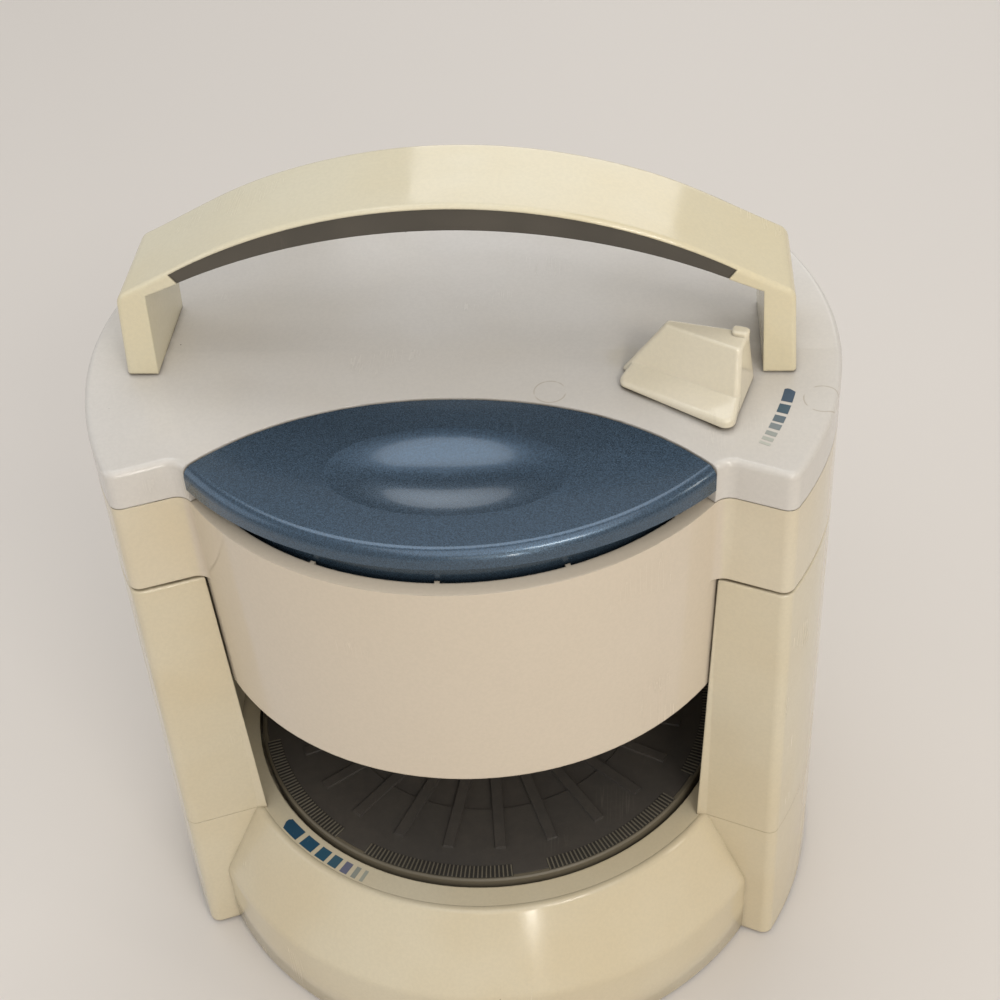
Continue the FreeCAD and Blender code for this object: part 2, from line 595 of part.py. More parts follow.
def rod_bushes():
    z1 = HEAD_JOINT_Z - JOINT_GAP
    bore_r = ROD_R + RUNNING
    return Part.makeCompound([tube(bore_r + BUSH_T, bore_r, z1 - ROD_BUSH_L, z1 - 0.4,
                                   p) for p in rod_places()])


def guide_rods():
    rods = []
    for place in rod_places():
        rod = cylinder(ROD_R, ROD_BOTTOM_Z, HEAD_JOINT_Z + ROD_GRIP, place)
        rods.append(chamfered(rod, ROD_CHAMFER, level_edge(ROD_BOTTOM_Z)))
    return Part.makeCompound(rods)


# ---------------------------------------------------------------- head
def head_block(z0, z1):
    """The two column blocks with the round apron between them, blended together."""
    apron = Part.makeCone(apron_r(z0), apron_r(z1), z1 - z0, Vector(0, 0, z0))
    return filleted(fuse(casing(z0, z1, in_x=HEAD_IN_X), apron), CREASE_R, crease_edge)


def head_housing():
    z0, z1 = HEAD_JOINT_Z, COVER_JOINT_Z - COVER_GAP
    block = filleted(head_block(z0, z1), LIP_R, lambda e: level_edge(z0)(e) and not on_apron(e))
    low_apron = Part.makeCone(apron_r(APRON_BOTTOM_Z), apron_r(z0 + 1), z0 + 1 - APRON_BOTTOM_Z,
                              Vector(0, 0, APRON_BOTTOM_Z))
    outside = fuse(block, low_apron)
    space = casing(z0 + WALL, z1 + 3, WALL, HEAD_IN_X)
    inside = cylinder(DRUM_IN_R, APRON_BOTTOM_Z - 1, z1 + 1)
    shell = cut(outside, space, inside)
    fittings = []
    for place in rod_places():
        boss = cylinder(ROD_R + 3, z0 + 1, z0 + ROD_GRIP, place)
        fittings.append(boss.common(casing(z0 + LIP_R, z1, 0.5)))
    for n in range(APRON_RIBS):
        rib = box(APRON_RIB_IN_R, DRUM_IN_R + 0.8, -0.7, 0.7, cover_plate_z + PLATE_T, z1)
        rib.rotate(Vector(0, 0, 0), Vector(0, 0, 1), -90.5 + (n - 0.5 * (APRON_RIBS - 1)) * APRON_RIB_PITCH)
        fittings.append(rib)
    fittings.append(tube(DRUM_IN_R + 0.5, DRUM_IN_R - 1.6, JAW_PLATE_Z - 2.2, JAW_PLATE_Z))
    shell = fuse(shell, *fittings)
    return cut(shell, *[cylinder(ROD_R, z0 - 1, z0 + ROD_GRIP, p) for p in rod_places()])


def level_edge(z):
    """Picks the edges that lie in one level."""
    return lambda edge: abs(edge.BoundBox.ZMin - z) < 0.01 and abs(edge.BoundBox.ZMax - z) < 0.01


def on_apron(edge):
    """Whether an edge runs round the apron, between the two column blocks."""
    middle = edge.valueAt(0.5 * (edge.FirstParameter + edge.LastParameter))
    return abs(middle.x) < COLUMN_IN_X + 2 and middle.y < 0


def crease_edge(edge):
    """The upright crease where the curved apron runs into an angled column block."""
    a, b = edge.Vertexes[0].Point, edge.Vertexes[-1].Point
    middle = (a + b) * 0.5
    outside = abs(sqrt(middle.x ** 2 + middle.y ** 2) - apron_r(middle.z)) < 0.6
    return abs(a.z - b.z) > 10 and outside and 60 < abs(middle.x) < 76 and middle.y < -40


def button_outline(gap=0.0, open_front=True):
    """The almond seen from above, closed by its front edge's arc or left open far out to the front."""
    tip_x = BUTTON_TIP_X + gap * 1.4
    back = Part.BSplineCurve()
    points = [(-tip_x, BUTTON_TIP_Y), (-41.0, -33.0 + gap), (0, BUTTON_BACK_Y + gap), (41.0, -33.0 + gap),
              (tip_x, BUTTON_TIP_Y)]
    back.interpolate([Vector(x, y, 0) for x, y in points])
    right, left = Vector(tip_x, BUTTON_TIP_Y, 0), Vector(-tip_x, BUTTON_TIP_Y, 0)
    if not open_front:
        return Part.Face(Part.Wire([back.toShape(), Part.Arc(right, Vector(0, BUTTON_FRONT_Y, 0),
                                                             left).toShape()]))
    ends = [right, Vector(tip_x, -130, 0), Vector(-tip_x, -130, 0), left]
    sides = [Part.LineSegment(p, q).toShape() for p, q in zip(ends, ends[1:])]
    return Part.Face(Part.Wire([back.toShape()] + sides))


def raised(face, z0, z1):
    """A flat face lifted to one height and extruded to another."""
    face = face.copy()
    face.translate(Vector(0, 0, z0))
    return face.extrude(Vector(0, 0, z1 - z0))


def dish_bowl():
    """Cutter of the finger dish: deepest in the middle, easing out to its edge, tilted as the cover is."""
    curve = Part.BSplineCurve()
    reaches = [DISH_REACH * k / 4 for k in range(5)]
    curve.interpolate([Vector(r, 0, DISH_EASE - (1 - r * r) ** 2) for r in reaches])
    start, end = curve.StartPoint, curve.EndPoint
    corners = [end, Vector(end.x, 0, 2), Vector(0, 0, 2), start]
    sides = [Part.LineSegment(p, q).toShape() for p, q in zip(corners, corners[1:])]
    bowl = Part.Face(Part.Wire([curve.toShape()] + sides)).revolve(Vector(0, 0, 0), Vector(0, 0, 1), 360)
    size = FreeCAD.Matrix()
    size.scale(Vector(DISH_X, DISH_Y, DISH_DEPTH))
    bowl = bowl.transformGeometry(size)
    bowl.rotate(Vector(0, 0, 0), Vector(1, 0, 0), degrees(atan(COVER_SLOPE)))
    bowl.translate(Vector(0, DISH_CENTRE_Y, TOP_Z - BUTTON_LOWER + COVER_SLOPE * (DISH_CENTRE_Y - CREASE_Y)))
    return bowl


def button_cone(inset, z0, z1):
    """The button's round skirt, which goes down inside the drum."""
    lean = (BUTTON_FRONT_R - BUTTON_FOOT_R) / (BUTTON_BRIM_Z - BUTTON_FOOT_Z)
    foot_r = BUTTON_FOOT_R - inset
    return Part.makeCone(foot_r + lean * (z0 - BUTTON_FOOT_Z), foot_r + lean * (z1 - BUTTON_FOOT_Z), z1 - z0,
                         Vector(0, 0, z0))


def button_posts():
    return [Vector(side * BUTTON_POST_X, BUTTON_POST_Y, 0) for side in (-1, 1)]


def start_button():
    low, high = BUTTON_FOOT_Z, TOP_Z + 2
    skirt = button_cone(0.0, low, BUTTON_BRIM_Z + 1).common(raised(button_outline(), low, BUTTON_BRIM_Z + 1))
    top = raised(button_outline(open_front=False), BUTTON_BRIM_Z, high).cut(slope_cut(TOP_Z - BUTTON_LOWER))
    top = one(top)
    top = top.makeFillet(BUTTON_EDGE_R, [e for e in top.Edges if button_front_edge(e)])
    body = fuse(top, skirt)
    room = button_cone(BUTTON_WALL, low - 1, high).common(raised(button_outline(-BUTTON_WALL), low - 1, high))
    body = cut(body, room.cut(slope_cut(TOP_Z - BUTTON_TOP_T)), dish_bowl())
    post_z = cover_plate_z + PLATE_T + 12
    posts = [cylinder(BUTTON_POST_R, post_z, BUTTON_BRIM_Z + 2, place) for place in button_posts()]
    finger = cylinder(3.0, SWITCH_TOP_Z + BUTTON_TRAVEL + 0.3, BUTTON_BRIM_Z + 2, Vector(0, BUTTON_POST_Y, 0))
    return fuse(body, *posts, finger)


def button_front_edge(edge):
    middle = edge.valueAt(0.5 * (edge.FirstParameter + edge.LastParameter))
    return middle.y < BUTTON_FRONT_Y + 1 and middle.z > BUTTON_BRIM_Z + 2 and edge.Length > BUTTON_TIP_X


def button_springs():
    """Two coil springs round the button's posts, each wound as one solid."""
    coils = []
    seat = cover_plate_z + PLATE_T
    for side in (-1, 1):
        height = SPRING_TOP_Z - seat
        helix = Part.makeHelix(height / SPRING_TURNS, height - 2 * SPRING_WIRE_R - 0.2, SPRING_R)
        corners = [Vector(SPRING_R + SPRING_WIRE_R * cos(radians(a)), 0,
                          SPRING_WIRE_R * sin(radians(a))) for a in range(0, 361, 60)]
        profile = Part.makePolygon(corners)
        coil = Part.Wire(helix.Edges).makePipeShell([profile], True, True)
        coil.translate(Vector(side * BUTTON_POST_X, BUTTON_POST_Y, seat + SPRING_WIRE_R + 0.1))
        coils.append(Part.Solid(coil) if coil.ShapeType != "Solid" else coil)
    return Part.makeCompound(coils)


def start_switch():
    seat = cover_plate_z + PLATE_T
    body = box(-10, 10, -60, -52, seat, SWITCH_TOP_Z - 2)
    plunger = box(-2, 2, -58, -54, SWITCH_TOP_Z - 3, SWITCH_TOP_Z)
    tabs = [box(x - 0.4, x + 0.4, -66, -59, seat + 4, seat + 8) for x in (-7, 0, 7)]
    return fuse(body, plunger, *tabs)


def top_cover():
    z0 = COVER_JOINT_Z
    block = one(head_block(z0, TOP_Z + 4).cut(slope_cut(TOP_Z)))
    block = filleted(block, COVER_EDGE_R, cover_top_edge)
    button_room = raised(button_outline(BUTTON_GAP), z0 - 1, TOP_Z + 5)
    rim = raised(button_outline(BUTTON_GAP + WALL), z0 - 1, TOP_Z + 5)
    space = casing(z0 - 1, TOP_Z + 4, WALL, HEAD_IN_X).cut(slope_cut(TOP_Z - WALL))
    shell = cut(block, one(space.cut(rim)), button_room)
    slot = arc_block(release_out_r - RISER_T - SLOT_ROOM, release_out_r + SLOT_ROOM,
                     RISER_ANGLE - RISER_HALF - 1.0,
                     RISER_ANGLE + RISER_HALF + LEVER_TRAVEL + 1.0, 196, TOP_Z + 2)
    bosses = []
    holes = [slot]
    for x, y in handle_screw_places():
        bosses.append(cylinder(3.8, TOP_Z - 9, TOP_Z - 1, Vector(x, y, 0)))
        holes.append(cylinder(1.7, 150, TOP_Z + 5, Vector(x, y, 0)))
    shell = fuse(shell, *bosses)
    return cut(shell, *holes)


def cover_top_edge(edge):
    """The edge round the cover's top, but not the crease across it."""
    middle = edge.valueAt(0.5 * (edge.FirstParameter + edge.LastParameter))
    surface_z = TOP_Z + COVER_SLOPE * min(0.0, middle.y - CREASE_Y)
    across = abs(edge.Vertexes[0].Point.x - edge.Vertexes[-1].Point.x) > 150 and abs(middle.y - CREASE_Y) < 1
    return abs(middle.z - surface_z) < 0.3 and edge.BoundBox.ZMin > COVER_JOINT_Z + 2 and not across


def arc_block(r0, r1, a0, a1, z0, z1):
    """A block between two radii, two angles and two heights."""
    ring = tube(r1, r0, z0, z1)
    reach = r1 * 1.6
    corners = [(reach * cos(radians(a)), reach * sin(radians(a))) for a in (a0, 0.5 * (a0 + a1), a1)]
    wedge = prism([(0, 0)] + corners, z0 - 1, z1 + 1)
    return one(ring.common(wedge))


def jaw_angles():
    return [FIRST_JAW_ANGLE + 360.0 * n / JAW_COUNT for n in range(JAW_COUNT)]


def jaw_plate():
    """Carries the lid's push and the three jaw shafts; a raised track round it guides the release ring."""
    plate = cylinder(DRUM_IN_R - 0.15, JAW_PLATE_Z, JAW_PLATE_Z + JAW_PLATE_T)
    track = tube(DRUM_IN_R - 1.2, release_out_r + 0.1, JAW_PLATE_Z + JAW_PLATE_T - 0.5, cover_plate_z)
    holes = [cylinder(JAW_SHAFT_R + RUNNING, 0, 300, at_angle(jaw_pivot_r, a)) for a in jaw_angles()]
    holes += [cylinder(9.0, 0, 300, at_angle(34, a + 60)) for a in jaw_angles()]
    screws = [at_angle(PLATE_SCREW_R, a) for a in PLATE_SCREWS]
    holes += [cylinder(PLATE_SCREW_SHANK, JAW_PLATE_Z + 3, 300, place) for place in screws]
    return cut(fuse(plate, track), *holes)


def ring_cover_plate():
    plate = cylinder(DRUM_IN_R - 0.15, cover_plate_z, cover_plate_z + PLATE_T)
    cuts = [cylinder(JAW_SHAFT_R + RUNNING, 0, 300, at_angle(jaw_pivot_r, a)) for a in jaw_angles()]
    cuts.append(arc_block(release_out_r - RISER_T - 1, release_out_r + 0.8, RISER_ANGLE - RISER_HALF - 1.2,
                          RISER_ANGLE + RISER_HALF + LEVER_TRAVEL + 1.2,
                          cover_plate_z - 1, cover_plate_z + PLATE_T + 1))
    cuts += [cylinder(14.0, 0, 300, at_angle(30, a + 60)) for a in jaw_angles()]
    cuts += [cylinder(BUTTON_POST_R + 0.3, 0, 300, post) for post in button_posts()]
    cuts += [cylinder(PLATE_SCREW_SHANK + 0.3, 0, 300, at_angle(PLATE_SCREW_R, a)) for a in PLATE_SCREWS]
    return cut(plate, *cuts)


def plate_screws():
    top = cover_plate_z + PLATE_T + 1.8
    heads = [screw(PLATE_SCREW_SHANK, 9.0, 3.2, 1.8, at_angle(PLATE_SCREW_R, a, top),
                   down=True) for a in PLATE_SCREWS]
    return Part.makeCompound(heads)


def release_ring():
    z0, z1 = jaw_gear_z, jaw_gear_z + JAW_GEAR_T
    ring = tube(release_out_r, release_out_r - RING_BAND, z0, z1)
    teeth_band = tube(release_out_r - RING_BAND + 0.2, release_pitch_r - 0.92 * JAW_MODULE, z0, z1)
    cutter = prism(gear_outline(RELEASE_TEETH, JAW_MODULE, GEAR_BACKLASH / 2, inner=True), z0 - 1, z1 + 1)
    teeth = []
    for a in jaw_angles():
        sector = arc_block(release_pitch_r - 2, release_out_r, a - LEVER_TRAVEL - 7, a + 7, z0, z1)
        turned = cutter.copy()
        turned.rotate(Vector(0, 0, 0), Vector(0, 0, 1), a)
        teeth.append(one(teeth_band.common(sector)).cut(turned))
    riser = arc_block(release_out_r - RISER_T, release_out_r, RISER_ANGLE - RISER_HALF,
                      RISER_ANGLE + RISER_HALF,
                      z0, RISER_TOP_Z)
    return fuse(ring, *teeth, riser)


def jaw_parts(angle):
    """One swing jaw at its closed stop: arm with its shaft, pinion on top and rubber pad at the tip."""
    pivot = at_angle(jaw_pivot_r, angle)
    arm_top = JAW_PLATE_Z - 3.6
    arm_low = arm_top - JAW_ARM_T
    hub = cylinder(9.0, arm_low, arm_top)
    reach = JAW_ARM_REACH - JAW_PAD_T
    bar = prism([(-7.5, 0), (-7.0, -reach * 0.45), (-4.5, -reach), (4.5, -reach), (5.5, -reach * 0.55),
                 (7.5, 0)], arm_low, arm_top)
    shaft = cylinder(JAW_SHAFT_R, arm_low, cover_plate_z + PLATE_T + 1.5)
    collar = cylinder(JAW_SHAFT_R + 2, arm_top - 0.5, JAW_PLATE_Z - 0.1)
    arm = fuse(hub, bar, shaft, collar)
    pocket = cylinder(3.2, arm_low - 1, arm_low + 5, Vector(-0.5, -reach * 0.6, 0))
    arm = cut(arm, pocket)
    pinion = spur_gear(JAW_TEETH, JAW_MODULE, jaw_gear_z, JAW_GEAR_T, JAW_SHAFT_R, GEAR_BACKLASH / 2, 90)
    collar_up = tube(JAW_SHAFT_R + 2.5, JAW_SHAFT_R, jaw_gear_z - JAW_GEAR_GAP + 0.1, jaw_gear_z + 0.5)
    pinion = fuse(pinion, collar_up)
    pad = box(-4.5, 4.5, -JAW_ARM_REACH, -reach, arm_low + 0.6, arm_top - 0.6)
    grooves = [box(x - 0.5, x + 0.5, -JAW_ARM_REACH - 1, -JAW_ARM_REACH + 0.9, arm_low,
                   arm_top) for x in (-3, -1, 1, 3)]
    pad = cut(pad, *grooves)
    parts = []
    for shape in (arm, pinion, pad):
        shape.rotate(Vector(0, 0, 0), Vector(0, 0, 1), angle - 90)
        shape.translate(pivot)
        parts.append(shape)
    return parts


def lid_pad():
    low_z = JAW_PLATE_Z - LID_PAD_T
    return chamfered(cylinder(LID_PAD_R, low_z, JAW_PLATE_Z), 0.8, level_edge(low_z))


# ---------------------------------------------------------------- release lever and handle
def rounded_outline(points, radius, z):
    """A level closed wire through (x, y) corners, each rounded."""
    corners = [Vector(x, y, z) for x, y in points]
    edges, last = [], None
    for n, corner in enumerate(corners):
        back = (corners[n - 1] - corner).normalize()
        ahead = (corners[(n + 1) % len(corners)] - corner).normalize()
        half = 0.5 * back.getAngle(ahead)
        start, end = corner + back * (radius / tan(half)), corner + ahead * (radius / tan(half))
        middle = corner + (back + ahead).normalize() * (radius / sin(half) - radius)
        if last:
            edges.append(Part.LineSegment(last, start).toShape())
        edges.append(Part.Arc(start, middle, end).toShape())
        last = end
    edges.append(Part.LineSegment(last, edges[0].Vertexes[0].Point).toShape())
    return Part.Wire(edges)


def lever_foot_cut():
    """Everything under the lever's foot, which leans so that it clears the cover through the whole swing."""
    profile = [(-BIG, LEVER_FOOT_Z - LEVER_FOOT_SLOPE * (BIG - LEVER_FOOT_Y)),
               (0, LEVER_FOOT_Z + LEVER_FOOT_SLOPE * LEVER_FOOT_Y),
               (0, HEAD_JOINT_Z), (-BIG, HEAD_JOINT_Z)]
    corners = [Vector(0, y, z) for y, z in profile]
    return Part.Face(Part.makePolygon(corners + corners[:1])).extrude(Vector(BIG, 0, 0))


def lever_shelf():
    """The shelf in front of the lever's steep face: a rounded block under a plane that rises to the face."""
    left, right = [Vector(x, y, 0) for x, y in LEVER_SHELF[:2]]
    along = (right - left).normalize()
    inward = Vector(-along.y, along.x, 0)
    low_z, high_z = LEVER_FOOT_Z - 4, LEVER_TOP_Z
    outline = Part.Face(rounded_outline(LEVER_SHELF, LEVER_SHELF_CORNER_R, low_z))
    block = outline.extrude(Vector(0, 0, high_z - low_z))
    corners = [left + inward * t + Vector(0, 0, z) - along * 20 for t, z in
               ((-10, LEVER_SHELF_Z - 10 * LEVER_SHELF_SLOPE), (40, LEVER_SHELF_Z + 40 * LEVER_SHELF_SLOPE),
                (40, BIG), (-10, BIG))]
    above = Part.Face(Part.makePolygon(corners + corners[:1])).extrude(along * 90)
    block = one(block.cut(above))
    return filleted(block, LEVER_EDGE_R, lambda e: e.BoundBox.ZMin > LEVER_SHELF_Z - 2)


def beyond(a, b, c, centre, reach=60.0):
    """The space on the far side of the plane through three points, seen from the centre."""
    outward = (b - a).cross(c - a).normalize()
    if outward.dot(centre - a) > 0:
        outward = outward * -1
    along = (b - a).normalize()
    across = outward.cross(along)
    middle = (a + b) * 0.5
    signs = ((-1, -1), (1, -1), (1, 1), (-1, 1))
    corners = [middle + along * (u * reach) + across * (v * reach) for u, v in signs]
    return Part.Face(Part.makePolygon(corners + corners[:1])).extrude(outward * reach)


def lever_wedge():
    """A wedge between four leaning planes, each through a side of the ledge and the middle of a crest side."""
    ledge = [Vector(x, y, LEVER_LEDGE_Z) for x, y in LEVER_LEDGE]
    crest = [Vector(x, y, LEVER_TOP_Z) for x, y in LEVER_CREST]
    centre = (crest[0] + crest[2]) * 0.5
    wedge = box(30, 100, -60, 10, LEVER_FOOT_Z - 4, LEVER_TOP_Z)
    for n in range(4):
        after = (n + 1) % 4
        wedge = wedge.cut(beyond(ledge[n], ledge[after], (crest[n] + crest[after]) * 0.5, centre))
    wedge = filleted(one(wedge), LEVER_CORNER_R, lambda e: e.BoundBox.ZLength > 5)
    return filleted(wedge, LEVER_CREST_R, level_edge(LEVER_TOP_Z))


def release_lever():
    """A shelf, a wedge with a steep face to push on, and a small nub on the wedge's crest."""
    nub = Part.Face(rounded_outline(LEVER_NUB, LEVER_NUB_R, LEVER_TOP_Z - 2))
    nub = nub.extrude(Vector(0, 0, 2 + LEVER_NUB_H))
    nub = filleted(nub, 0.6 * LEVER_NUB_R, level_edge(LEVER_TOP_Z + LEVER_NUB_H))
    body = fuse(lever_wedge(), lever_shelf())
    stem = arc_block(release_out_r - RISER_T, release_out_r, RISER_ANGLE - RISER_HALF, RISER_ANGLE + RISER_HALF,
                     RISER_TOP_Z, LEVER_SHELF_Z)
    return fuse(cut(fuse(body, nub), lever_foot_cut()), stem)


def handle_arc_z(crest, radius, x):
    return crest - radius + sqrt(radius * radius - x * x)


def handle_face(points_and_arcs):
    """A face in the X-Z plane from a chain of (start, via or None, end) pieces."""
    edges = []
    for start, via, end in points_and_arcs:
        a, b = Vector(start[0], 0, start[1]), Vector(end[0], 0, end[1])
        if via is None:
            edges.append(Part.LineSegment(a, b).toShape())
        else:
            edges.append(Part.Arc(a, Vector(via[0], 0, via[1]), b).toShape())
    return Part.Face(Part.Wire(edges))


def extrude_y(face, y0, y1):
    face.translate(Vector(0, y0, 0))
    return face.extrude(Vector(0, y1 - y0, 0))


def crescent(y0, y1, lift_bottom=0.0, drop_top=0.0, shorten=0.0):
    """The grip's crescent between the arch's skin and its own underside."""
    end = GRIP_END_X - shorten
    low_x = end - GRIP_END_SLANT
    top_crest = HANDLE_TOP_Z - HANDLE_SKIN - drop_top
    low_crest = GRIP_BOTTOM_Z + lift_bottom
    top_end = handle_arc_z(top_crest, HANDLE_ARCH_R, end)
    low_end = handle_arc_z(low_crest, GRIP_ARCH_R, low_x)
    pieces = [((-end, top_end), (0, top_crest), (end, top_end)),
              ((end, top_end), None, (low_x, low_end)),
              ((low_x, low_end), (0, low_crest), (-low_x, low_end)),
              ((-low_x, low_end), None, (-end, top_end))]
    return extrude_y(handle_face(pieces), y0, y1)


def handle_top_line():
    """The arch's top as one smooth curve: round in the middle and flatter towards the legs."""
    inner = [SHOULDER_X * k / 4 for k in range(5)]
    right = [(x, handle_arc_z(HANDLE_TOP_Z, HANDLE_ARCH_R, x)) for x in inner]
    right.append((LEG_TOP_OUT_X, LEG_TOP_OUT_Z))
    curve = Part.BSplineCurve()
    curve.interpolate([Vector(x, 0, z) for x, z in [(-x, z) for x, z in reversed(right)] + right[1:]])
    return curve.toShape()


def handle_body():
    """The arch and its two legs, without the room for the grip."""
    low_x = GRIP_END_X - GRIP_END_SLANT
    low_z = handle_arc_z(GRIP_BOTTOM_Z, GRIP_ARCH_R, low_x)
    inside_x = GRIP_END_X - 6.0             # from here the outline stays inside the grip's crescent
    inside_z = handle_arc_z(GRIP_BOTTOM_Z, GRIP_ARCH_R, inside_x) + 1.3
    foot_z = TOP_Z + 0.1
    right = [(LEG_TOP_OUT_X, LEG_TOP_OUT_Z), (LEG_OUT_X, foot_z), (LEG_IN_X, foot_z),
             (LEG_TOP_IN_X, LEG_TOP_IN_Z), (low_x, low_z), (inside_x, inside_z)]
    left = [(-x, z) for x, z in reversed(right)]
    edges = [handle_top_line()]
    for side in (right, left):
        corners = [Vector(x, 0, z) for x, z in side]
        edges += [Part.LineSegment(p, q).toShape() for p, q in zip(corners, corners[1:])]
    middle = Vector(0, 0, GRIP_BOTTOM_Z + 2.5)
    edges.append(Part.Arc(Vector(inside_x, 0, inside_z), middle, Vector(-inside_x, 0, inside_z)).toShape())
    face = Part.Face(Part.Wire(Part.__sortEdges__(edges)))
    body = extrude_y(face, HANDLE_FRONT_Y, HANDLE_BACK_Y)
    body = filleted(body, LEG_CORNER_R, leg_corner)
    body = filleted(body, HANDLE_BACK_R, lambda e: handle_long_edge(e, HANDLE_BACK_Y))
    return filleted(body, HANDLE_FRONT_R, lambda e: handle_long_edge(e, HANDLE_FRONT_Y))


def handle():
    room = crescent(HANDLE_FRONT_Y - 1, HANDLE_BACK_Y + 1)
    core = crescent(HANDLE_FRONT_Y + GRIP_WRAP + 0.02, HANDLE_BACK_Y - GRIP_WRAP - 0.02, GRIP_WRAP + 0.02,
                    -0.5, CORE_SHORTER)
    body = fuse(cut(handle_body(), room), core)
    holes = [cylinder(SCREW_HOLE_R, TOP_Z - 2, TOP_Z + 16, Vector(x, y, 0)) for x, y in handle_screw_places()]
    return cut(body, *holes)


def leg_corner(edge):
    """The long corner, across the handle, where the arch turns down into a leg."""
    bounds = edge.BoundBox
    at_corner = abs(abs(bounds.Center.x) - LEG_TOP_OUT_X) < 0.5 and bounds.ZMin > LEG_TOP_OUT_Z - 1
    return bounds.YLength > 20 and at_corner


def handle_long_edge(edge, y):
    """The outer outline on the front or back face: over the arch and down the outside of both legs."""
    bounds = edge.BoundBox
    middle = edge.valueAt(0.5 * (edge.FirstParameter + edge.LastParameter))
    on_face = abs(bounds.YMin - y) < 0.05 and abs(bounds.YMax - y) < 0.05
    over_arch = middle.z > handle_arc_z(HANDLE_TOP_Z, HANDLE_ARCH_R, min(abs(middle.x), 95.0)) - 1.0
    outside_leg = abs(middle.x) > 0.5 * (LEG_TOP_IN_X + LEG_OUT_X) + 1.5 and edge.Length > 2
    return on_face and (over_arch or outside_leg) and bounds.ZMax > TOP_Z + 1


def handle_grip():
    whole = crescent(HANDLE_FRONT_Y + 0.35, HANDLE_BACK_Y - 0.35, 0.0, 0.0, 0.1)
    core = crescent(HANDLE_FRONT_Y + GRIP_WRAP, HANDLE_BACK_Y - GRIP_WRAP, GRIP_WRAP, -2.0, -1.0)
    return cut(whole, core)


def handle_screw_places():
    return [(s * (LEG_IN_X + 4.4), y) for s in (-1, 1) for y in (-7.0, 9.0)]


def handle_screws():
    return Part.makeCompound([screw(SCREW_SHANK_R, 20.0, 3.0, 1.8, Vector(x, y, TOP_Z - 9 - 1.8)) for x,
                              y in handle_screw_places()])


# ---------------------------------------------------------------- export
def main():
    os.makedirs("parts", exist_ok=True)
    nodes = {
        "base_shell": base_shell(), "bottom_pan": bottom_pan(), "feet": feet(), "pan_screws": pan_screws(),
        "cord_bush": cord_bush(), "gear_plate": gear_plate(), "gear_plate_screws": gear_plate_screws(),
        "drive_motor": drive_motor(), "motor_pinion": motor_pinion(), "idler_gear": idler_gear(),
        "idler_pin": idler_pin(), "turntable_bush": turntable_bush(), "turntable_spindle": turntable_spindle(),
        "turntable_gear": turntable_gear(), "turntable_platter": turntable_platter(),
        "turntable_mat": turntable_mat(), "retaining_clip": retaining_clip(),
        "tower_housing": tower_housing(), "rod_bushes": rod_bushes(), "guide_rods": guide_rods(),
        "head_housing": head_housing(), "top_cover": top_cover(), "start_button": start_button(),
        "button_springs": button_springs(), "start_switch": start_switch(), "jaw_plate": jaw_plate(),
        "ring_cover_plate": ring_cover_plate(), "plate_screws": plate_screws(), "release_ring": release_ring(),
        "lid_pad": lid_pad(), "release_lever": release_lever(), "handle": handle(), "handle_grip": handle_grip(),
        "handle_screws": handle_screws(),
    }
    for number, angle in enumerate(jaw_angles(), 1):
        for name, shape in zip(("jaw_arm", "jaw_pinion", "jaw_tip_pad"), jaw_parts(angle)):
            nodes[f"{name}_{number}"] = shape
    for name, shape in nodes.items():
        solids = shape.Solids
        good = shape.isValid() and all(s.isClosed() and s.Volume > 0 for s in solids)
        print(f"{name:20s} solids {len(solids)} volume {shape.Volume:10.1f} valid {good}")
        shape.exportStep(f"parts/{name}.step")


main()
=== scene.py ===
# %% [markdown]
# An electric jar opener, dressed for a product render. The shapes come from the CAD frame: every housing,
# gear and screw is already there, true to size. What is added here is what CAD leaves out: the aged
# plastics, the pearl lacquer, the rubber, the printed marks, the fine moulded ticks and the wear of years.

# %% Load the frame
import json
import math

import bmesh
import bpy
from mathutils import Matrix, Vector


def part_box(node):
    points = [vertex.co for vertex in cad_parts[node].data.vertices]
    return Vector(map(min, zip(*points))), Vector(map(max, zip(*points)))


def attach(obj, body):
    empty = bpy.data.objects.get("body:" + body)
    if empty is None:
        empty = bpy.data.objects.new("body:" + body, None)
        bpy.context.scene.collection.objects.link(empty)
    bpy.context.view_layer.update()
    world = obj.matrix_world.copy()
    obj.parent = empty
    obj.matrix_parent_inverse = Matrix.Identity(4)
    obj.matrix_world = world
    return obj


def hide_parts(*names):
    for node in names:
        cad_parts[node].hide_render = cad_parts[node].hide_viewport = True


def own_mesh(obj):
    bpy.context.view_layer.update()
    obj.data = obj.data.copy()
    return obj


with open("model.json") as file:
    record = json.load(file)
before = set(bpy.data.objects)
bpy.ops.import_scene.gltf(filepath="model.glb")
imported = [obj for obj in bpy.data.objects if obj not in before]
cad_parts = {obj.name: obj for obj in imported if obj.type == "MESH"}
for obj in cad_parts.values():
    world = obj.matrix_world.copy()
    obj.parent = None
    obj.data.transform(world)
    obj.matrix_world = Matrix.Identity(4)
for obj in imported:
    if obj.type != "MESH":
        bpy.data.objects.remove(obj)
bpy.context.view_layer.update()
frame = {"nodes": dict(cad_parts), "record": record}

NODES = frame["nodes"]
MM = 0.001

# %% [markdown]
# The camera looks down on the machine at about 41 degrees from half a metre away, a little right of its
# middle. A camera can be aimed with a Track To constraint, but then its roll can't be set, and this view
# leans slightly. So the three axes of the view are worked out from yaw, pitch and roll, and go into the
# camera's matrix as columns.

# %% Camera
EYE = Vector((48.494, -385.556, 482.606)) * MM
YAW, PITCH, ROLL = (math.radians(angle) for angle in (-5.9835, 41.1246, -3.85))
SENSOR_WIDTH, LENS = 36.0, 60.0035
NEAR, FAR = 0.01, 20.0

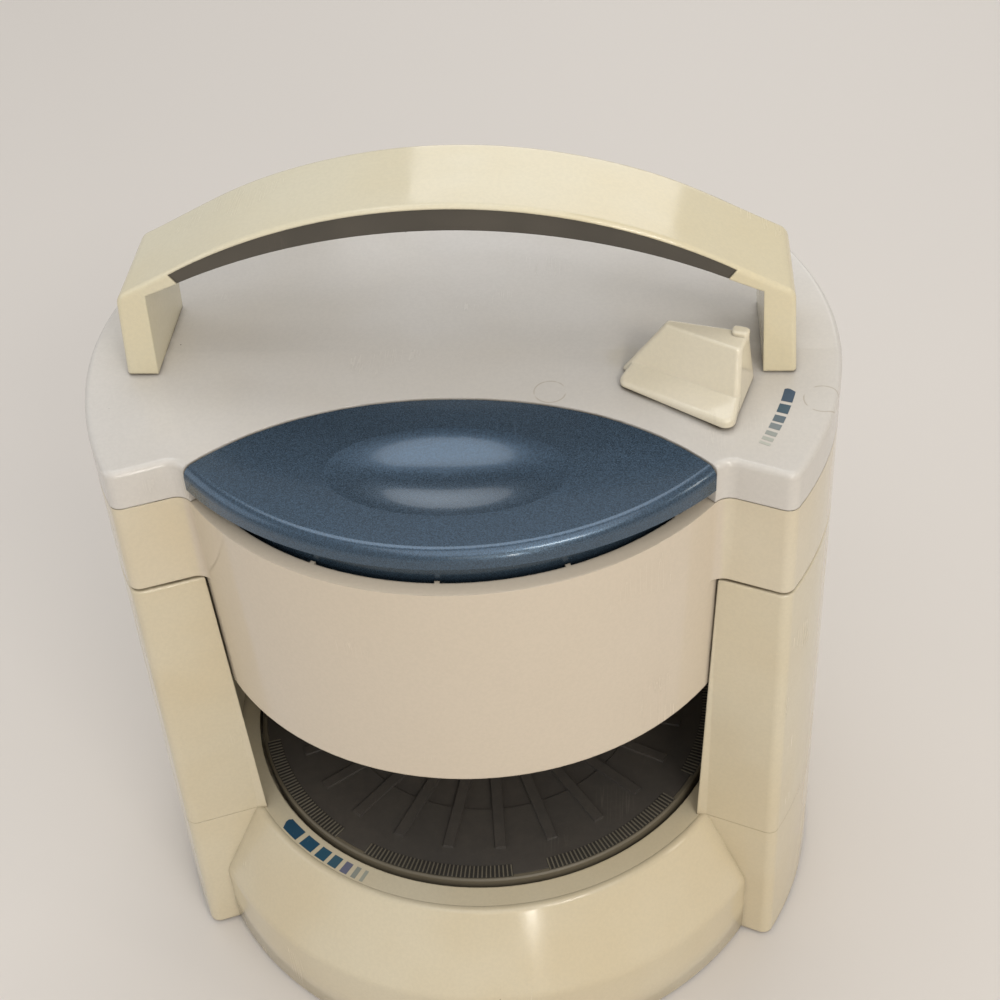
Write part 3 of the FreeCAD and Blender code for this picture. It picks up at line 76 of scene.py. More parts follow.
forward = Vector((math.sin(YAW) * math.cos(PITCH), math.cos(YAW) * math.cos(PITCH), -math.sin(PITCH)))
level = Vector((math.cos(YAW), -math.sin(YAW), 0.0))
upright = level.cross(forward)
right = level * math.cos(ROLL) + upright * math.sin(ROLL)
top = upright * math.cos(ROLL) - level * math.sin(ROLL)
view_axes = Matrix((right, top, -forward)).transposed().to_4x4()

camera = bpy.data.objects.new("camera", bpy.data.cameras.new("camera"))
camera.data.sensor_width = SENSOR_WIDTH
camera.data.lens = LENS
camera.data.clip_start, camera.data.clip_end = NEAR, FAR
camera.matrix_world = Matrix.Translation(EYE) @ view_axes
bpy.context.scene.collection.objects.link(camera)
bpy.context.scene.camera = camera
print("lens", round(camera.data.lens, 2), "mm")

# %% [markdown]
# A material is a small graph of nodes, and shader maths is easier to read as an expression. This class
# wraps one output socket of a node. Adding, multiplying or comparing two wrapped sockets adds a Math node,
# and `node` makes any other node, with its settings first and then its sockets.

# %% The shader helper
class Flow:
    """An output socket of a material's node tree, with arithmetic."""

    def __init__(self, tree, socket=None):
        self.tree, self.socket = tree, socket

    def node(self, kind, inputs=(), output=0, **settings):
        """A new node: `inputs` holds a value or a Flow for each socket's name or number."""
        made = self.tree.nodes.new("ShaderNode" + kind)
        for name, value in settings.items():
            setattr(made, name, value)
        for name, value in dict(inputs).items():
            if isinstance(value, Flow):
                self.tree.links.new(value.socket, made.inputs[name])
            else:
                made.inputs[name].default_value = value
        return Flow(self.tree, made.outputs[output])

    def math(self, operation, a, b=0.0):
        """A Math node on two values or Flows."""
        return self.node("Math", {0: a, 1: b}, operation=operation)

    def __add__(self, other):
        return self.math("ADD", self, other)

    def __radd__(self, other):
        return self.math("ADD", other, self)

    def __sub__(self, other):
        return self.math("SUBTRACT", self, other)

    def __rsub__(self, other):
        return self.math("SUBTRACT", other, self)

    def __mul__(self, other):
        return self.math("MULTIPLY", self, other)

    def __rmul__(self, other):
        return self.math("MULTIPLY", other, self)

    def __lt__(self, other):
        return self.math("LESS_THAN", self, other)

    def __gt__(self, other):
        return self.math("GREATER_THAN", self, other)

    def __abs__(self):
        return self.math("ABSOLUTE", self)

    def fade(self, low, high, start=0.0, end=1.0):
        """`start` below low, `end` above high, and smooth in between."""
        limits = {"From Min": low, "From Max": high, "To Min": start, "To Max": end}
        return self.node("MapRange", {"Value": self, **limits}, interpolation_type="SMOOTHSTEP")

    def mix(self, a, b):
        """Colour a where this mask is 0, colour b where it is 1: sockets 6 and 7 of the Mix node."""
        return self.node("Mix", {0: self, 6: a, 7: b}, output=2, data_type="RGBA")


def linear(red, green, blue):
    """A colour as a paint chart gives it, 0 to 255, turned into the linear light that shaders use."""
    def channel(c):
        c /= 255.0
        return c / 12.92 if c <= 0.04045 else ((c + 0.055) / 1.055) ** 2.4
    return (channel(red), channel(green), channel(blue), 1.0)


print("a chart grey of 128 is", round(linear(128, 128, 128)[0], 3), "in linear light")

# %% [markdown]
# Several finishes share the same kinds of wear, so each kind is a function of the object coordinates.
# Specks are small dots that sit in a few of the cells of a Voronoi pattern, and a broad noise gathers them
# in loose swarms. Hairline scratches are where a stretched noise crosses its middle value: the Mapping node
# makes the noise thirty times longer along Y and Z, so its crossings draw out into lines. Painted shade in
# corners is shared too: it is strongest where Ambient Occlusion says that a corner is tight.

# %% Kinds of wear and painted shade
HAIR_STRETCH = 30.0
AO_SAMPLES = 8


def here_on(flow):
    """The object coordinates, in metres."""
    return flow.node("TexCoord", output="Object")


def place_on(flow, scale=(1.0, 1.0, 1.0), turn=(0.0, 0.0, 0.0)):
    """Object coordinates, scaled and then turned."""
    return flow.node("Mapping", {"Vector": here_on(flow), "Scale": scale, "Rotation": turn})


def noise(flow, scale, detail=2.0, rough=0.5, stretch=(1.0, 1.0, 1.0), turn=(0.0, 0.0, 0.0)):
    """Smooth noise with about `scale` lumps in a metre."""
    spot = place_on(flow, stretch, turn)
    return flow.node("TexNoise", {"Vector": spot, "Scale": scale, "Detail": detail, "Roughness": rough})


def specks(flow, cell, size, share):
    """Ragged dots of about `size` radius in roughly `share` of the cells of `cell` metres: 1 on a dot."""
    pattern = {"Vector": place_on(flow), "Scale": 1.0 / cell}
    distance = flow.node("TexVoronoi", pattern, output="Distance")
    lot = flow.node("TexVoronoi", pattern, output="Color")
    drawn = flow.node("SeparateColor", {"Color": lot}, output="Red")
    ragged = noise(flow, 2600.0, 2.0) * 0.9 + 0.35
    swarm = noise(flow, 24.0, 2.0).fade(0.42, 0.62, 0.2, 1.4)
    return (distance < ragged * (size / cell)) * (drawn < swarm * share)


def scratches(flow, scale, turn):
    """Thin hairlines, broken up so that they start and stop; another `turn` draws other lines."""
    stretch = (1.0, 1.0 / HAIR_STRETCH, 1.0 / HAIR_STRETCH)
    field = noise(flow, scale, 0.0, 0.4, stretch, (0.0, 0.0, turn))
    line = abs(field - 0.5).fade(0.0, 0.035, 1.0, 0.0)
    return line * noise(flow, 38.0, 1.0).fade(0.62, 0.7)


# Painted shade: this Ambient Occlusion mask darkens tight corners and joints in the finishes that use it.
def shade_in_corners(flow, reach):
    """How deep in a corner a point lies: 1 in a tight corner and 0 in the open."""
    open_sky = flow.node("AmbientOcclusion", {"Distance": reach}, output="AO", samples=AO_SAMPLES)
    return open_sky.fade(0.25, 0.8, 1.0, 0.0)


def axis_of(flow, vector, axis):
    """One number of a vector: its X, Y or Z."""
    return flow.node("SeparateXYZ", {"Vector": vector}, output=axis)


print("kinds of wear:", [kind.__name__ for kind in (noise, specks, scratches, shade_in_corners)])

# %% [markdown]
# Each finish starts from the same few steps: a material with a Principled shader, whose steady values are
# set on its own sockets, and a Flow to build the rest of its nodes with. The Bevel node rounds the sharp
# edges of the CAD parts in the shading, as a mould's polished edges do, so that each edge catches a thread
# of light.

# %% Starting a finish
BEVEL_SAMPLES = 4


def finish_of(name, rough, base=(0.8, 0.8, 0.8, 1.0), metal=0.0, coat=0.0, coat_rough=0.1):
    """A new material, its Principled shader and a Flow to build its nodes with."""
    material = bpy.data.materials.new(name)
    material.use_nodes = True
    shader = material.node_tree.nodes["Principled BSDF"]
    steady = {"Base Color": base, "Roughness": rough, "Metallic": metal, "Coat Weight": coat,
              "Coat Roughness": coat_rough}
    for socket, value in steady.items():
        shader.inputs[socket].default_value = value
    return material, shader, Flow(material.node_tree)


def feed(shader, flow, **sockets):
    """Link each Flow to the shader's socket of that name, with a space for each underline."""
    for name, value in sockets.items():
        flow.tree.links.new(value.socket, shader.inputs[name.replace("_", " ")])


def bump(flow, height, strength, distance, edge=0.0):
    """A Normal that `height` raises and lowers, with edges rounded to the radius `edge`."""
    relief = {"Height": height, "Strength": strength, "Distance": distance}
    if edge:
        relief["Normal"] = flow.node("Bevel", {"Radius": edge}, output="Normal", samples=BEVEL_SAMPLES)
    return flow.node("Bump", relief, output="Normal")


print("edges are rounded in the shading with", BEVEL_SAMPLES, "samples")

# %% [markdown]
# The housings are glossy moulded ABS that has yellowed unevenly with age. One function makes every tone of
# it from a clean and an aged colour, with broad mottling, dirt and painted shade in the joints and corners,
# dark specks, fine hairlines, greasy smears that dull the gloss, and the faint ripple of a moulded surface.
# A `special` step may change the colour once more, for a mark that only one part has.

# %% Aged plastic
SPECK_BROWN = linear(96, 86, 78)
HAIR_GREY = linear(150, 142, 126)


def aged_plastic(name, clean, aged, rough=0.09, dirt_and_shade=(104, 92, 74), speck_share=0.1, special=None):
    material, shader, flow = finish_of(name, rough, linear(*clean))
    mottle = noise(flow, 11.0, 3.0, 0.55).fade(0.35, 0.68) * 0.75 + noise(flow, 60.0, 3.0, 0.6) * 0.25
    colour = mottle.mix(linear(*clean), linear(*aged))
    if special:
        colour = special(flow, colour)
    fine = noise(flow, 900.0, 2.0, 0.7).fade(0.35, 0.65) * 0.1
    colour = fine.mix(colour, linear(*(0.82 * c for c in clean)))
    # Dirt and painted shade: where Ambient Occlusion finds a tight corner or joint, the colour turns dark
    # brown, broken up by noise.
    dirt_and_shade_in_joints = shade_in_corners(flow, 0.004) * noise(flow, 90.0, 3.0).fade(0.25, 0.7, 0.2, 0.8)
    colour = dirt_and_shade_in_joints.mix(colour, linear(*dirt_and_shade))
    colour = (specks(flow, 0.0075, 0.00034, speck_share) * 0.65).mix(colour, SPECK_BROWN)
    hair = scratches(flow, 700.0, 0.6) + scratches(flow, 560.0, -0.9)
    colour = (hair * 0.08).mix(colour, HAIR_GREY)
    smears = noise(flow, 26.0, 4.0, 0.6, (1.0, 2.2, 1.0), (0.0, 0.0, 0.5)).fade(0.42, 0.7, 0.0, 0.12)
    ripple = noise(flow, 420.0, 2.0) * 0.3 + noise(flow, 70.0, 1.0) * 1.4 - hair * 0.2
    feed(shader, flow, Base_Color=colour, Roughness=smears + hair * 0.2 + rough,
         Normal=bump(flow, ripple, 0.14, 0.0002, edge=0.0006))
    return material


print("aged plastic: speck colour", [round(c, 3) for c in SPECK_BROWN[:3]])

# %% [markdown]
# Three parts have marks of their own. The cover has two pale brown rings, as wet caps leave, and a painted
# shadow of the lever beside it. The head's curved apron is whiter than the blocks at its sides. It is told
# from them by its distance from the turntable's axis. Round the tower's foot runs the hairline where it
# stands on the base, drawn only on upright walls.

# %% Marks of single parts
CAP_RINGS = [((0.0262, -0.0228, 0.2038), 0.0044), ((0.1, -0.026, 0.2038), 0.0052)]
LEVER_SHADOW_PLACE = (0.0475, -0.0085, 0.2046)
APRON_FROM, APRON_TO = 0.0882, 0.0896
FOOT_JOINT = 0.0543


def away_from(flow, place):
    """Distance from a point."""
    return flow.node("VectorMath", {0: here_on(flow), 1: place}, output="Value", operation="DISTANCE")


def from_axis(flow):
    """Distance from the turntable's axis."""
    flat = flow.node("VectorMath", {0: here_on(flow), 1: (1.0, 1.0, 0.0)}, operation="MULTIPLY")
    return flow.node("VectorMath", {0: flat}, output="Value", operation="LENGTH")


def cover_marks(flow, colour):
    for place, radius in CAP_RINGS:
        ring = abs(away_from(flow, place) - radius).fade(0.00005, 0.0003, 1.0, 0.0)
        part_gone = noise(flow, 210.0, 3.0).fade(0.42, 0.56)
        colour = (ring * part_gone * 0.45).mix(colour, linear(150, 132, 104))
    # Painted shadow of the lever: a darker, yellower patch on the cover beside it, broken up by noise.
    lever_shadow = away_from(flow, LEVER_SHADOW_PLACE).fade(0.003, 0.008, 0.3, 0.0)
    return (lever_shadow * noise(flow, 160.0, 3.0)).mix(colour, linear(176, 164, 128))


def apron_whiter(flow, colour):
    apron = from_axis(flow).fade(APRON_FROM, APRON_TO, 1.0, 0.0)
    clean = noise(flow, 9.0, 2.0).mix(linear(206, 194, 178), linear(200, 186, 164))
    return apron.mix(colour, clean)


def tower_joint(flow, colour):
    height = axis_of(flow, here_on(flow), "Z")
    upright_wall = abs(axis_of(flow, flow.node("NewGeometry", output="Normal"), "Z")) < 0.5
    line = abs(height - FOOT_JOINT).fade(0.00008, 0.0002, 1.0, 0.0) * upright_wall
    return (line * 0.4).mix(colour, linear(140, 124, 96))


FINISH = {
    "cream_housing": aged_plastic("cream_housing", (208, 198, 174), (202, 187, 156), special=tower_joint),
    "cream_head": aged_plastic("cream_head", (210, 200, 178), (204, 190, 162), special=apron_whiter),
    "white_cover": aged_plastic("white_cover", (206, 202, 197), (202, 196, 187), rough=0.13,
                                speck_share=0.22, special=cover_marks),
    "ivory_handle": aged_plastic("ivory_handle", (216, 209, 186), (214, 201, 167), rough=0.08),
    "ivory_lever": aged_plastic("ivory_lever", (222, 214, 197), (218, 208, 184), rough=0.08),
}
print("plastics", sorted(FINISH))

# %% [markdown]
# The start button is lacquered in a slate blue with a pearl flake: a dark, half metallic base, thousands of
# tiny flakes that each tilt their own way, and a clear coat. The flakes are a fine Voronoi pattern whose
# cell colours shift the base colour a little and, through a very small bump, the direction in which each
# flake shines.

# %% Pearl lacquer
FLAKES_PER_METRE = 4200.0


def pearl_lacquer(name):
    material, shader, flow = finish_of(name, 0.28, metal=0.6, coat=0.4, coat_rough=0.09)
    flake = flow.node("TexVoronoi", {"Vector": place_on(flow), "Scale": FLAKES_PER_METRE}, output="Color")
    lot = flow.node("SeparateColor", {"Color": flake}, output="Red")
    colour = lot.fade(0.1, 1.0).mix(linear(58, 75, 91), linear(72, 94, 115))
    colour = (noise(flow, 18.0, 2.0).fade(0.4, 0.7) * 0.3).mix(colour, linear(70, 84, 98))
    colour = (specks(flow, 0.012, 0.00026, 0.16) * 0.7).mix(colour, linear(170, 178, 184))
    # Painted shade: tight corners of the button are darkened towards a near-black blue.
    colour = (shade_in_corners(flow, 0.003) * 0.5).mix(colour, linear(22, 28, 34))
    hair = scratches(flow, 640.0, 0.3)
    feed(shader, flow, Base_Color=colour, Roughness=lot * 0.08 + hair * 0.12 + 0.24,
         Normal=bump(flow, lot + hair * 0.5, 0.08, 0.00004))
    return material


FINISH["pearl_blue"] = pearl_lacquer("pearl_blue")
print("pearl flakes", round(1000.0 / FLAKES_PER_METRE, 2), "mm across")

# %% [markdown]
# Rubber and matt plastic scatter light without a sharp highlight. What makes them look real is a fine
# grain, a thin film of pale dust on what faces up, and a slight change of tone from place to place.

# %% Rubber and matt plastic
DUST = linear(150, 142, 126)
SPECK_PALE = linear(160, 150, 132)
SCUFF = linear(150, 142, 128)


def matt(name, colour, worn, rough=0.62, grain=1500.0, depth=0.15, dust=0.25):
    material, shader, flow = finish_of(name, rough, linear(*colour))
    facing = axis_of(flow, flow.node("NewGeometry", output="Normal"), "Z")
    lying = facing.fade(0.3, 1.0) * noise(flow, 240.0, 5.0, 0.7).fade(0.3, 0.8)
    tone = noise(flow, 34.0, 3.0).fade(0.3, 0.7).mix(linear(*colour), linear(*worn))
    tone = (lying * dust).mix(tone, DUST)
    tone = (specks(flow, 0.008, 0.0003, 0.2) * 0.7).mix(tone, SPECK_PALE)
    tone = (scratches(flow, 520.0, 1.1) * 0.1).mix(tone, SCUFF)
    fine = noise(flow, grain, 3.0, 0.6)
    feed(shader, flow, Base_Color=tone, Roughness=noise(flow, 45.0, 2.0) * 0.14 + (rough - 0.07),
         Normal=bump(flow, fine, depth, 0.0003, edge=0.0004))
    return material


FINISH["soft_grip"] = matt("soft_grip", (74, 69, 61), (84, 78, 69), rough=0.7, dust=0.08)
FINISH["charcoal_plastic"] = matt("charcoal_plastic", (92, 85, 71), (102, 94, 78), rough=0.5, dust=0.08)
FINISH["charcoal_rubber"] = matt("charcoal_rubber", (64, 60, 56), (68, 63, 58), rough=0.6, dust=0.05)
FINISH["black_rubber"] = matt("black_rubber", (30, 29, 28), (40, 39, 37), rough=0.7, dust=0.2)
FINISH["black_plastic"] = matt("black_plastic", (28, 28, 29), (36, 36, 37), rough=0.45, dust=0.1)
FINISH["grey_plastic"] = matt("grey_plastic", (150, 150, 147), (138, 138, 134), rough=0.5, dust=0.1)
FINISH["white_acetal"] = matt("white_acetal", (222, 221, 214), (214, 212, 202), rough=0.4, dust=0.08)
print("finishes so far", len(FINISH))

# %% [markdown]
# The metals inside are plain: ground steel rods and pins, zinc-plated screws, a drawn motor can, a brass
# pinion. Each has machining lines, from a noise that is squeezed along Z, and a little tarnish.

# %% Metals
def metal(name, bright, dull, rough, lines=(1.0, 1.0, 40.0)):
    material, shader, flow = finish_of(name, rough, linear(*bright), metal=1.0)
    grain = noise(flow, 60.0, 3.0, 0.6, lines)
    tarnish = noise(flow, 55.0, 4.0, 0.6).fade(0.4, 0.75)
    feed(shader, flow, Base_Color=tarnish.mix(linear(*bright), linear(*dull)),
         Roughness=grain * 0.2 + tarnish * 0.12 + (rough - 0.1), Normal=bump(flow, grain, 0.12, 0.00015))
    return material


FINISH["bright_steel"] = metal("bright_steel", (205, 205, 203), (176, 174, 170), 0.24)
FINISH["zinc_steel"] = metal("zinc_steel", (196, 198, 200), (164, 165, 160), 0.34)
FINISH["motor_steel"] = metal("motor_steel", (176, 177, 178), (146, 146, 144), 0.38, (1.0, 1.0, 12.0))
FINISH["brass_pinion"] = metal("brass_pinion", (214, 182, 112), (176, 144, 84), 0.28)
print("finishes so far", len(FINISH))

# %% [markdown]
# The record says which material each CAD part is made of, and the finishes above have the names of those
# materials. So one loop dresses the whole machine. The head's housing is the one exception: it is the same
# plastic as the other housings, and gets the finish with the whiter apron.

# %% Put a finish on every CAD part
for part in frame["record"]["subparts"]:
    mesh = NODES[part["node"]].data
    finish = "cream_head" if part["node"] == "head_housing" else part["material_slot"]
    mesh.materials.clear()
    mesh.materials.append(FINISH[finish])

# %% [markdown]
# New pieces are built as bmeshes in millimetres, so that their numbers read as on a drawing, and scaled to
# metres at the end. `piece` turns a bmesh into an object with a finish, and says which body carries it.

# %% Making a piece
def piece(name, shape, finish, body, smooth=True):
    """An object made from a bmesh in millimetres, riding on a body and in a material slot."""
    bmesh.ops.scale(shape, vec=(MM, MM, MM), verts=shape.verts)
    mesh = bpy.data.meshes.new(name)
    shape.to_mesh(mesh)
    shape.free()
    for face in mesh.polygons:
        face.use_smooth = smooth
    mesh.materials.append(finish)
    made = bpy.data.objects.new(name, mesh)
    bpy.context.scene.collection.objects.link(made)
    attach(made, body)
    print(name, len(mesh.polygons), "faces")
    return made


# %% [markdown]
# Two steel springs under the start button get shorter as it is pressed. The button travels 3 mm and a
# spring is 44.8 mm long, so at the full press a spring keeps the rest of that length. A CAD part can only
# move as a whole. A merged copy of the springs takes their place: it stands on its plate and rides on the
# head as one unbending piece.

# %% Button springs
MERGE_WITHIN = 0.002
coils = bmesh.new()
coils.from_mesh(NODES["button_springs"].data)
bmesh.ops.scale(coils, vec=(1 / MM, 1 / MM, 1 / MM), verts=coils.verts)
bmesh.ops.remove_doubles(coils, verts=coils.verts, dist=MERGE_WITHIN)
springs = piece("start_button_springs", coils, FINISH["bright_steel"], "head")
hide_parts("button_springs")
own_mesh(springs)

# %% [markdown]
# Round the turntable's edge run groups of fine raised ticks, which grip a jar's foot and help a thumb to
# turn the table. They could be a bump pattern, but real ticks catch the light on their ends, so they are
# modelled. Each tick is a plain block, so fine that its edges need no bevel, and is turned into its place.

# %% Turntable ticks
TICK_GROUPS, TICKS_IN_GROUP, TICK_PITCH = 8, 37, 1.0
FIRST_GROUP, GROUP_STEP = -99.0, 45.0
TICK_CIRCLE = 74.85
TICK_LENGTH, TICK_WIDTH, TICK_HEIGHT, TICK_SUNK = 4.3, 0.45, 0.5, 0.03


def turned(angle):
    """A turn about the turntable's axis, in degrees."""
    return Matrix.Rotation(math.radians(angle), 4, "Z")


def block(shape, length, width, height, matrix):
    """A plain block about the origin, put in its place by a matrix."""
    made = bmesh.ops.create_cube(shape, size=1.0, matrix=Matrix.Diagonal((length, width, height, 1.0)))
    bmesh.ops.transform(shape, matrix=matrix, verts=made["verts"])


platter_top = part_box("turntable_platter")[1].z / MM
unturned = Matrix.Translation((TICK_CIRCLE, 0.0, platter_top - TICK_SUNK))
ticks = bmesh.new()
for group in range(TICK_GROUPS):
    for n in range(TICKS_IN_GROUP):
        angle = FIRST_GROUP + GROUP_STEP * group + TICK_PITCH * (n - (TICKS_IN_GROUP - 1) / 2)
        block(ticks, TICK_LENGTH, TICK_WIDTH, TICK_HEIGHT, turned(angle) @ unturned)
FINISH["tick"] = matt("tick", (96, 90, 78), (108, 101, 87), rough=0.5, dust=0.12)
piece("turntable_ticks", ticks, FINISH["tick"], "turntable", smooth=False)

# %% [markdown]
# The floor between the ticks is painted darker than the mat, as painted shade. Each group gets a thin dark
# bed under it: a flat strip that is bent round the axis, a few hundredths of a millimetre above the
# platter. Bending can leave a strip's faces looking down, so those that do are turned round one by one.

# %% Painted shade under the ticks
BED_WIDTH, BED_LIFT, BED_STEPS, BED_END_GAP = 4.6, 0.04, 36, 0.2


def on_circle(radius, angle, z=0.0):
    """A point on a level circle about the turntable's axis."""
    return Vector((radius * math.cos(math.radians(angle)), radius * math.sin(math.radians(angle)), z))


def face_up(shape):
    """Turn round the faces of a level sheet that look down."""
    shape.normal_update()
    bmesh.ops.reverse_faces(shape, faces=[face for face in shape.faces if face.normal.z < 0])


shade_beds = bmesh.new()
half_group = TICK_PITCH * TICKS_IN_GROUP / 2 - BED_END_GAP
for group in range(TICK_GROUPS):
    strip = bmesh.ops.create_grid(shade_beds, x_segments=BED_STEPS, y_segments=1, size=0.5)
    for vert in strip["verts"]:
        angle = FIRST_GROUP + GROUP_STEP * group + vert.co.x * 2 * half_group
        vert.co = on_circle(TICK_CIRCLE + vert.co.y * BED_WIDTH, angle, platter_top + BED_LIFT)
face_up(shade_beds)
# Painted shade: the dark beds stand in for the shade between the ticks.
FINISH["tick_shade_bed"] = matt("tick_shade_bed", (38, 35, 31), (44, 41, 36), rough=0.7, dust=0.05)
piece("turntable_tick_shade_beds", shade_beds, FINISH["tick_shade_bed"], "turntable")

# %% [markdown]
# The base's skirt has soft edges: a small rounding where it leaves the ring, and a wide one where it turns
# down to the foot. A bevel of the base's own mesh could make them, but that mesh is cut up by ribs and
# screw bosses. So one profile is drawn a few tenths of a millimetre outside the base, its two roundings as
# arcs, and spun round the turntable's axis as far as the columns. It is closed at the back, a solid skin
# with its ends inside the columns.

# %% Skirt
RING_TOP = 54.3
SKIRT_OUT, SKIRT_IN = 101.68, 100.9
SHOULDER_ROUND, FOOT_ROUND, ARC_STEPS = 2.0, 8.5, 8
SLOPE = 26.6
SPIN_FROM, SPIN_SWEEP, SPIN_STEPS = -148.9, 117.8, 96


def at(radius, height):
    """A point of the profile, in the plane that is spun."""
    return Vector((radius, 0.0, height))


def arc(radius_at, height_at, rounding, start, end):
    """Points on an arc about a centre in the profile's plane, between two angles above the level."""
    angles = [math.radians(start + (end - start) * step / ARC_STEPS) for step in range(ARC_STEPS + 1)]
    return [at(radius_at + rounding * math.cos(a), height_at + rounding * math.sin(a)) for a in angles]


profile = [at(85.7, 54.2), at(86.2, 54.38)]
profile += arc(86.85, 52.45, SHOULDER_ROUND, 90.0, SLOPE)
profile += arc(SKIRT_OUT - FOOT_ROUND, 25.23, FOOT_ROUND, SLOPE, 0.0)
profile += [at(SKIRT_OUT, 14.0), at(SKIRT_OUT, 2.0), at(101.2, 1.4)]
profile += [at(SKIRT_IN, 2.0), at(SKIRT_IN, 25.6), at(86.9, 53.6), at(86.1, 53.9)]

skirt = bmesh.new()
corners = [skirt.verts.new(turned(SPIN_FROM) @ spot) for spot in profile]
rim = [skirt.edges.new((one, other)) for one, other in zip(corners, corners[1:] + corners[:1])]
bmesh.ops.spin(skirt, geom=corners + rim, cent=(0.0, 0.0, 0.0), axis=(0.0, 0.0, 1.0), dvec=(0.0, 0.0, 0.0),
               angle=math.radians(SPIN_SWEEP), steps=SPIN_STEPS, use_merge=False, use_duplicate=False)
bmesh.ops.holes_fill(skirt, edges=[e for e in skirt.edges if e.is_boundary], sides=0)
bmesh.ops.recalc_face_normals(skirt, faces=skirt.faces)
print("skirt edges left open", sum(e.is_boundary for e in skirt.edges))
piece("base_skirt", skirt, FINISH["cream_housing"], "base")

# %% [markdown]
# Two printed scales tell which way to move things: seven bars that fade from a dark teal to a pale grey.
# Print has no thickness to speak of, so each bar is a thin leaf of ink a few hundredths of a millimetre
# proud of the plastic. Each scale follows a circle about the turntable's axis, and its bars get shorter and
# paler one after the other.

# %% Printed bars
LEAF_STEPS = 4
POINT_AT = 0.35


def ink(name, colour):
    """Print that is worn through to a paler tone in small spots."""
    material, shader, flow = finish_of(name, 0.34, linear(*colour))
    worn = noise(flow, 900.0, 4.0, 0.7).fade(0.62, 0.72) * 0.4
    pale = tuple(c + 0.3 * (0.6 - c) for c in linear(*colour)[:3]) + (1.0,)
    feed(shader, flow, Base_Color=worn.mix(linear(*colour), pale))
    return material


def scale_of_bars(name, inner, outer, spans, height_at, colours, body, proud=0.05, arrow=0.0):
    """One leaf for each pair of angles; the first leaf starts in a point about `arrow` degrees deep."""
    for number, ((start, end), colour) in enumerate(zip(spans, colours), 1):
        leaf = bmesh.new()
        bmesh.ops.create_grid(leaf, x_segments=LEAF_STEPS, y_segments=LEAF_STEPS, size=0.5)
        for vert in leaf.verts:
            along, across = vert.co.x + 0.5, vert.co.y + 0.5
            tip = start + (arrow * abs(across - POINT_AT) * 2 if number == 1 else 0.0)
            spot = on_circle(inner + (outer - inner) * across, tip + (end - tip) * along)
            vert.co = Vector((spot.x, spot.y, height_at(spot) + proud))
        face_up(leaf)
        piece(f"{name}_{number}", leaf, ink(f"{name}_ink_{number}", colour), body)


# %% [markdown]
# The first scale lies on the base's level ring, at the left of the turntable. Its pointed bar shows which
# way the table turns to open a jar. A tiny lift keeps the leaves clear of the plastic under them.

# %% Scale on the ring
OPEN_SPANS = [(-138.8, -133.05), (-131.8, -128.1), (-127.0, -124.25), (-123.3, -121.0),
              (-119.95, -118.15), (-117.1, -115.95), (-114.9, -114.1)]
OPEN_INKS = [(38, 74, 98), (40, 78, 102), (46, 84, 104), (60, 92, 108), (106, 108, 128),
             (142, 146, 138), (158, 160, 148)]


def ring_height(spot):
    """The ring is level, so its height is the same at every spot."""
    return RING_TOP


scale_of_bars("open_bar", 81.1, 85.4, OPEN_SPANS, ring_height, OPEN_INKS, "base",
              arrow=1.0)

# %% [markdown]
# The second scale is printed on the cover beside the release lever. The cover is level at the back and
# falls gently towards the front, so the height of each point of a leaf follows that slope.

# %% Scale on the cover
COVER_TOP, COVER_CREASE_Y, COVER_FALL = 204.8, -5.0, 0.064
RELEASE_SPANS = [(-13.4, -16.8), (-17.5, -19.7), (-20.4, -22.0), (-22.5, -23.85), (-24.5, -25.5),
                 (-26.0, -26.8), (-27.3, -27.85)]
RELEASE_INKS = [(58, 78, 98), (60, 84, 98), (88, 102, 110), (118, 126, 128), (148, 152, 146),
                (168, 170, 160), (178, 179, 168)]


def cover_height(spot):
    """Level behind the crease, and falling in front of it."""
    return COVER_TOP - COVER_FALL * max(0.0, COVER_CREASE_Y - spot.y)


scale_of_bars("release_bar", 92.6, 95.7, RELEASE_SPANS, cover_height, RELEASE_INKS, "head",
              proud=0.06, arrow=-0.5)

# %% [markdown]
# The stage is a plain pale floor, wide enough to fill the camera's view.

# %% Floor
FLOOR_HALF_SIDE = 3.0
floor_shape = bmesh.new()
bmesh.ops.create_grid(floor_shape, x_segments=1, y_segments=1, size=FLOOR_HALF_SIDE)
floor_mesh = bpy.data.meshes.new("floor")
floor_shape.to_mesh(floor_mesh)
floor_shape.free()
floor_mesh.materials.append(finish_of("floor", 0.6, linear(214, 208, 202))[0])
floor = bpy.data.objects.new("floor", floor_mesh)
bpy.context.scene.collection.objects.link(floor)
print("floor", 2 * FLOOR_HALF_SIDE, "m square")

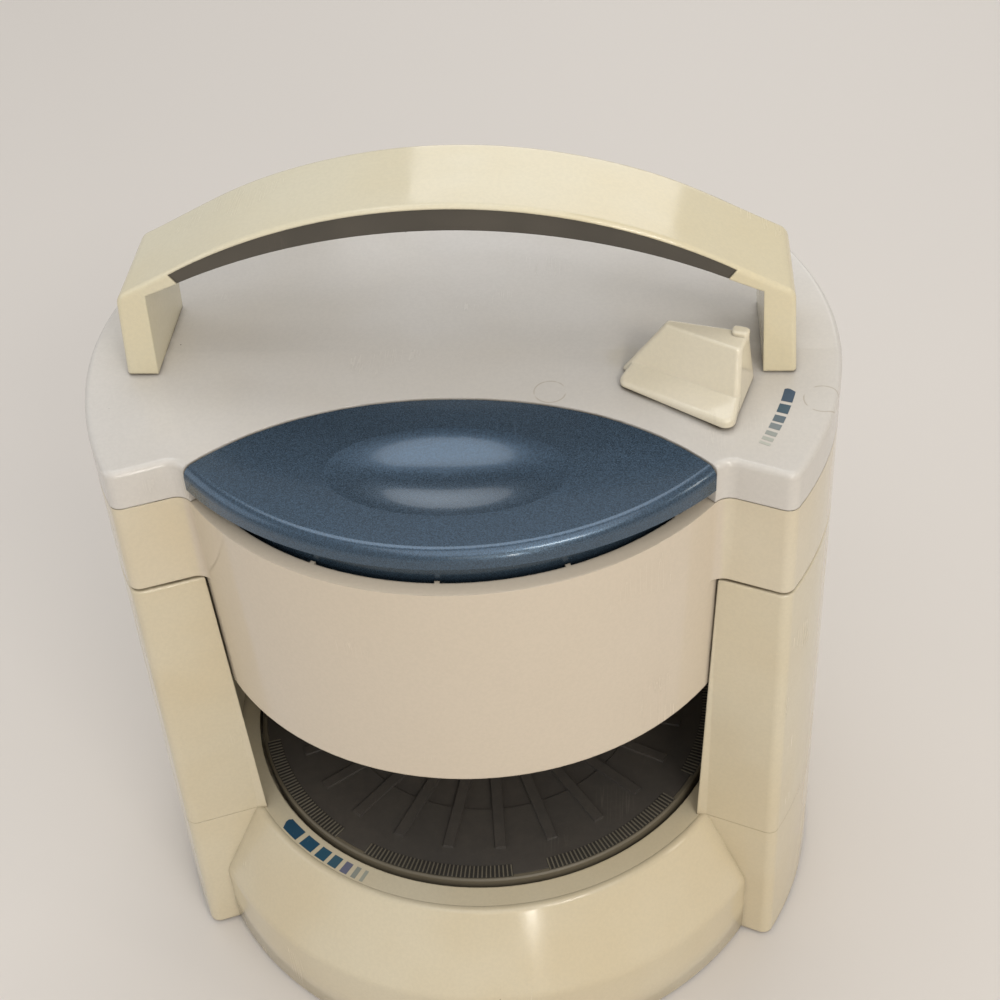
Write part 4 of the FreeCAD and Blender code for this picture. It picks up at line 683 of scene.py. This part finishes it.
# %% [markdown]
# The light is that of a soft studio. A wide ceiling lamp and an even pale world do most of the work. A cool
# panel overhead is what the upward faces mirror, so they look whiter than the walls. A broad warm lamp in
# front opens the shadows, a cool one stands at the left, and one behind lights the back. Three small warm
# lamps stand where windows would. They add little light, but they are what a glossy surface shows as bright
# glints, on the skirt's shoulder, the handle and the button's edge.

# %% Light
def lamp(name, place, aim, wide, high, power, tint):
    """A rectangular lamp of so many watts, turned to look at `aim`."""
    data = bpy.data.lights.new(name, "AREA")
    data.shape, data.size, data.size_y = "RECTANGLE", wide, high
    data.energy, data.color = power, tint
    made = bpy.data.objects.new(name, data)
    made.location = Vector(place)
    made.rotation_euler = (Vector(aim) - Vector(place)).to_track_quat("-Z", "Y").to_euler()
    bpy.context.scene.collection.objects.link(made)


middle = (0.0, 0.0, 0.12)
shoulder = (0.02, -0.09, 0.05)
lamp("ceiling", (0.3, -0.95, 1.8), middle, 1.9, 1.7, 13.0, (0.97, 0.98, 1.0))
lamp("overhead", (-0.12, 0.6, 1.9), middle, 1.3, 0.7, 7.0, (0.96, 0.98, 1.0))
lamp("front", (0.45, -1.9, 0.75), middle, 1.2, 0.7, 3.4, (1.0, 0.93, 0.82))
lamp("back", (0.25, 1.9, 0.9), middle, 1.3, 1.0, 6.0, (1.0, 0.98, 0.95))
lamp("left", (-1.7, -0.3, 0.9), middle, 1.2, 1.2, 4.0, (0.92, 0.96, 1.0))
lamp("front_window", (0.35, -1.3, 0.2), shoulder, 0.07, 0.3, 1.5, (1.0, 0.96, 0.88))
lamp("side_window", (0.62, -1.1, 1.1), middle, 0.4, 0.24, 4.6, (1.0, 0.95, 0.86))
lamp("right_window", (1.4, -0.35, 0.95), middle, 0.16, 0.34, 1.4, (1.0, 0.9, 0.76))

WORLD_TINT, WORLD_STRENGTH = (1.0, 0.98, 0.95, 1.0), 0.44
world = bpy.data.worlds.new("studio")
world.use_nodes = True
background = world.node_tree.nodes["Background"]
background.inputs["Color"].default_value = WORLD_TINT
background.inputs["Strength"].default_value = WORLD_STRENGTH
bpy.context.scene.world = world
bpy.context.scene.view_settings.view_transform = "Standard"
print("lamps", len(bpy.data.lights), "with", round(sum(light.energy for light in bpy.data.lights), 1), "W")
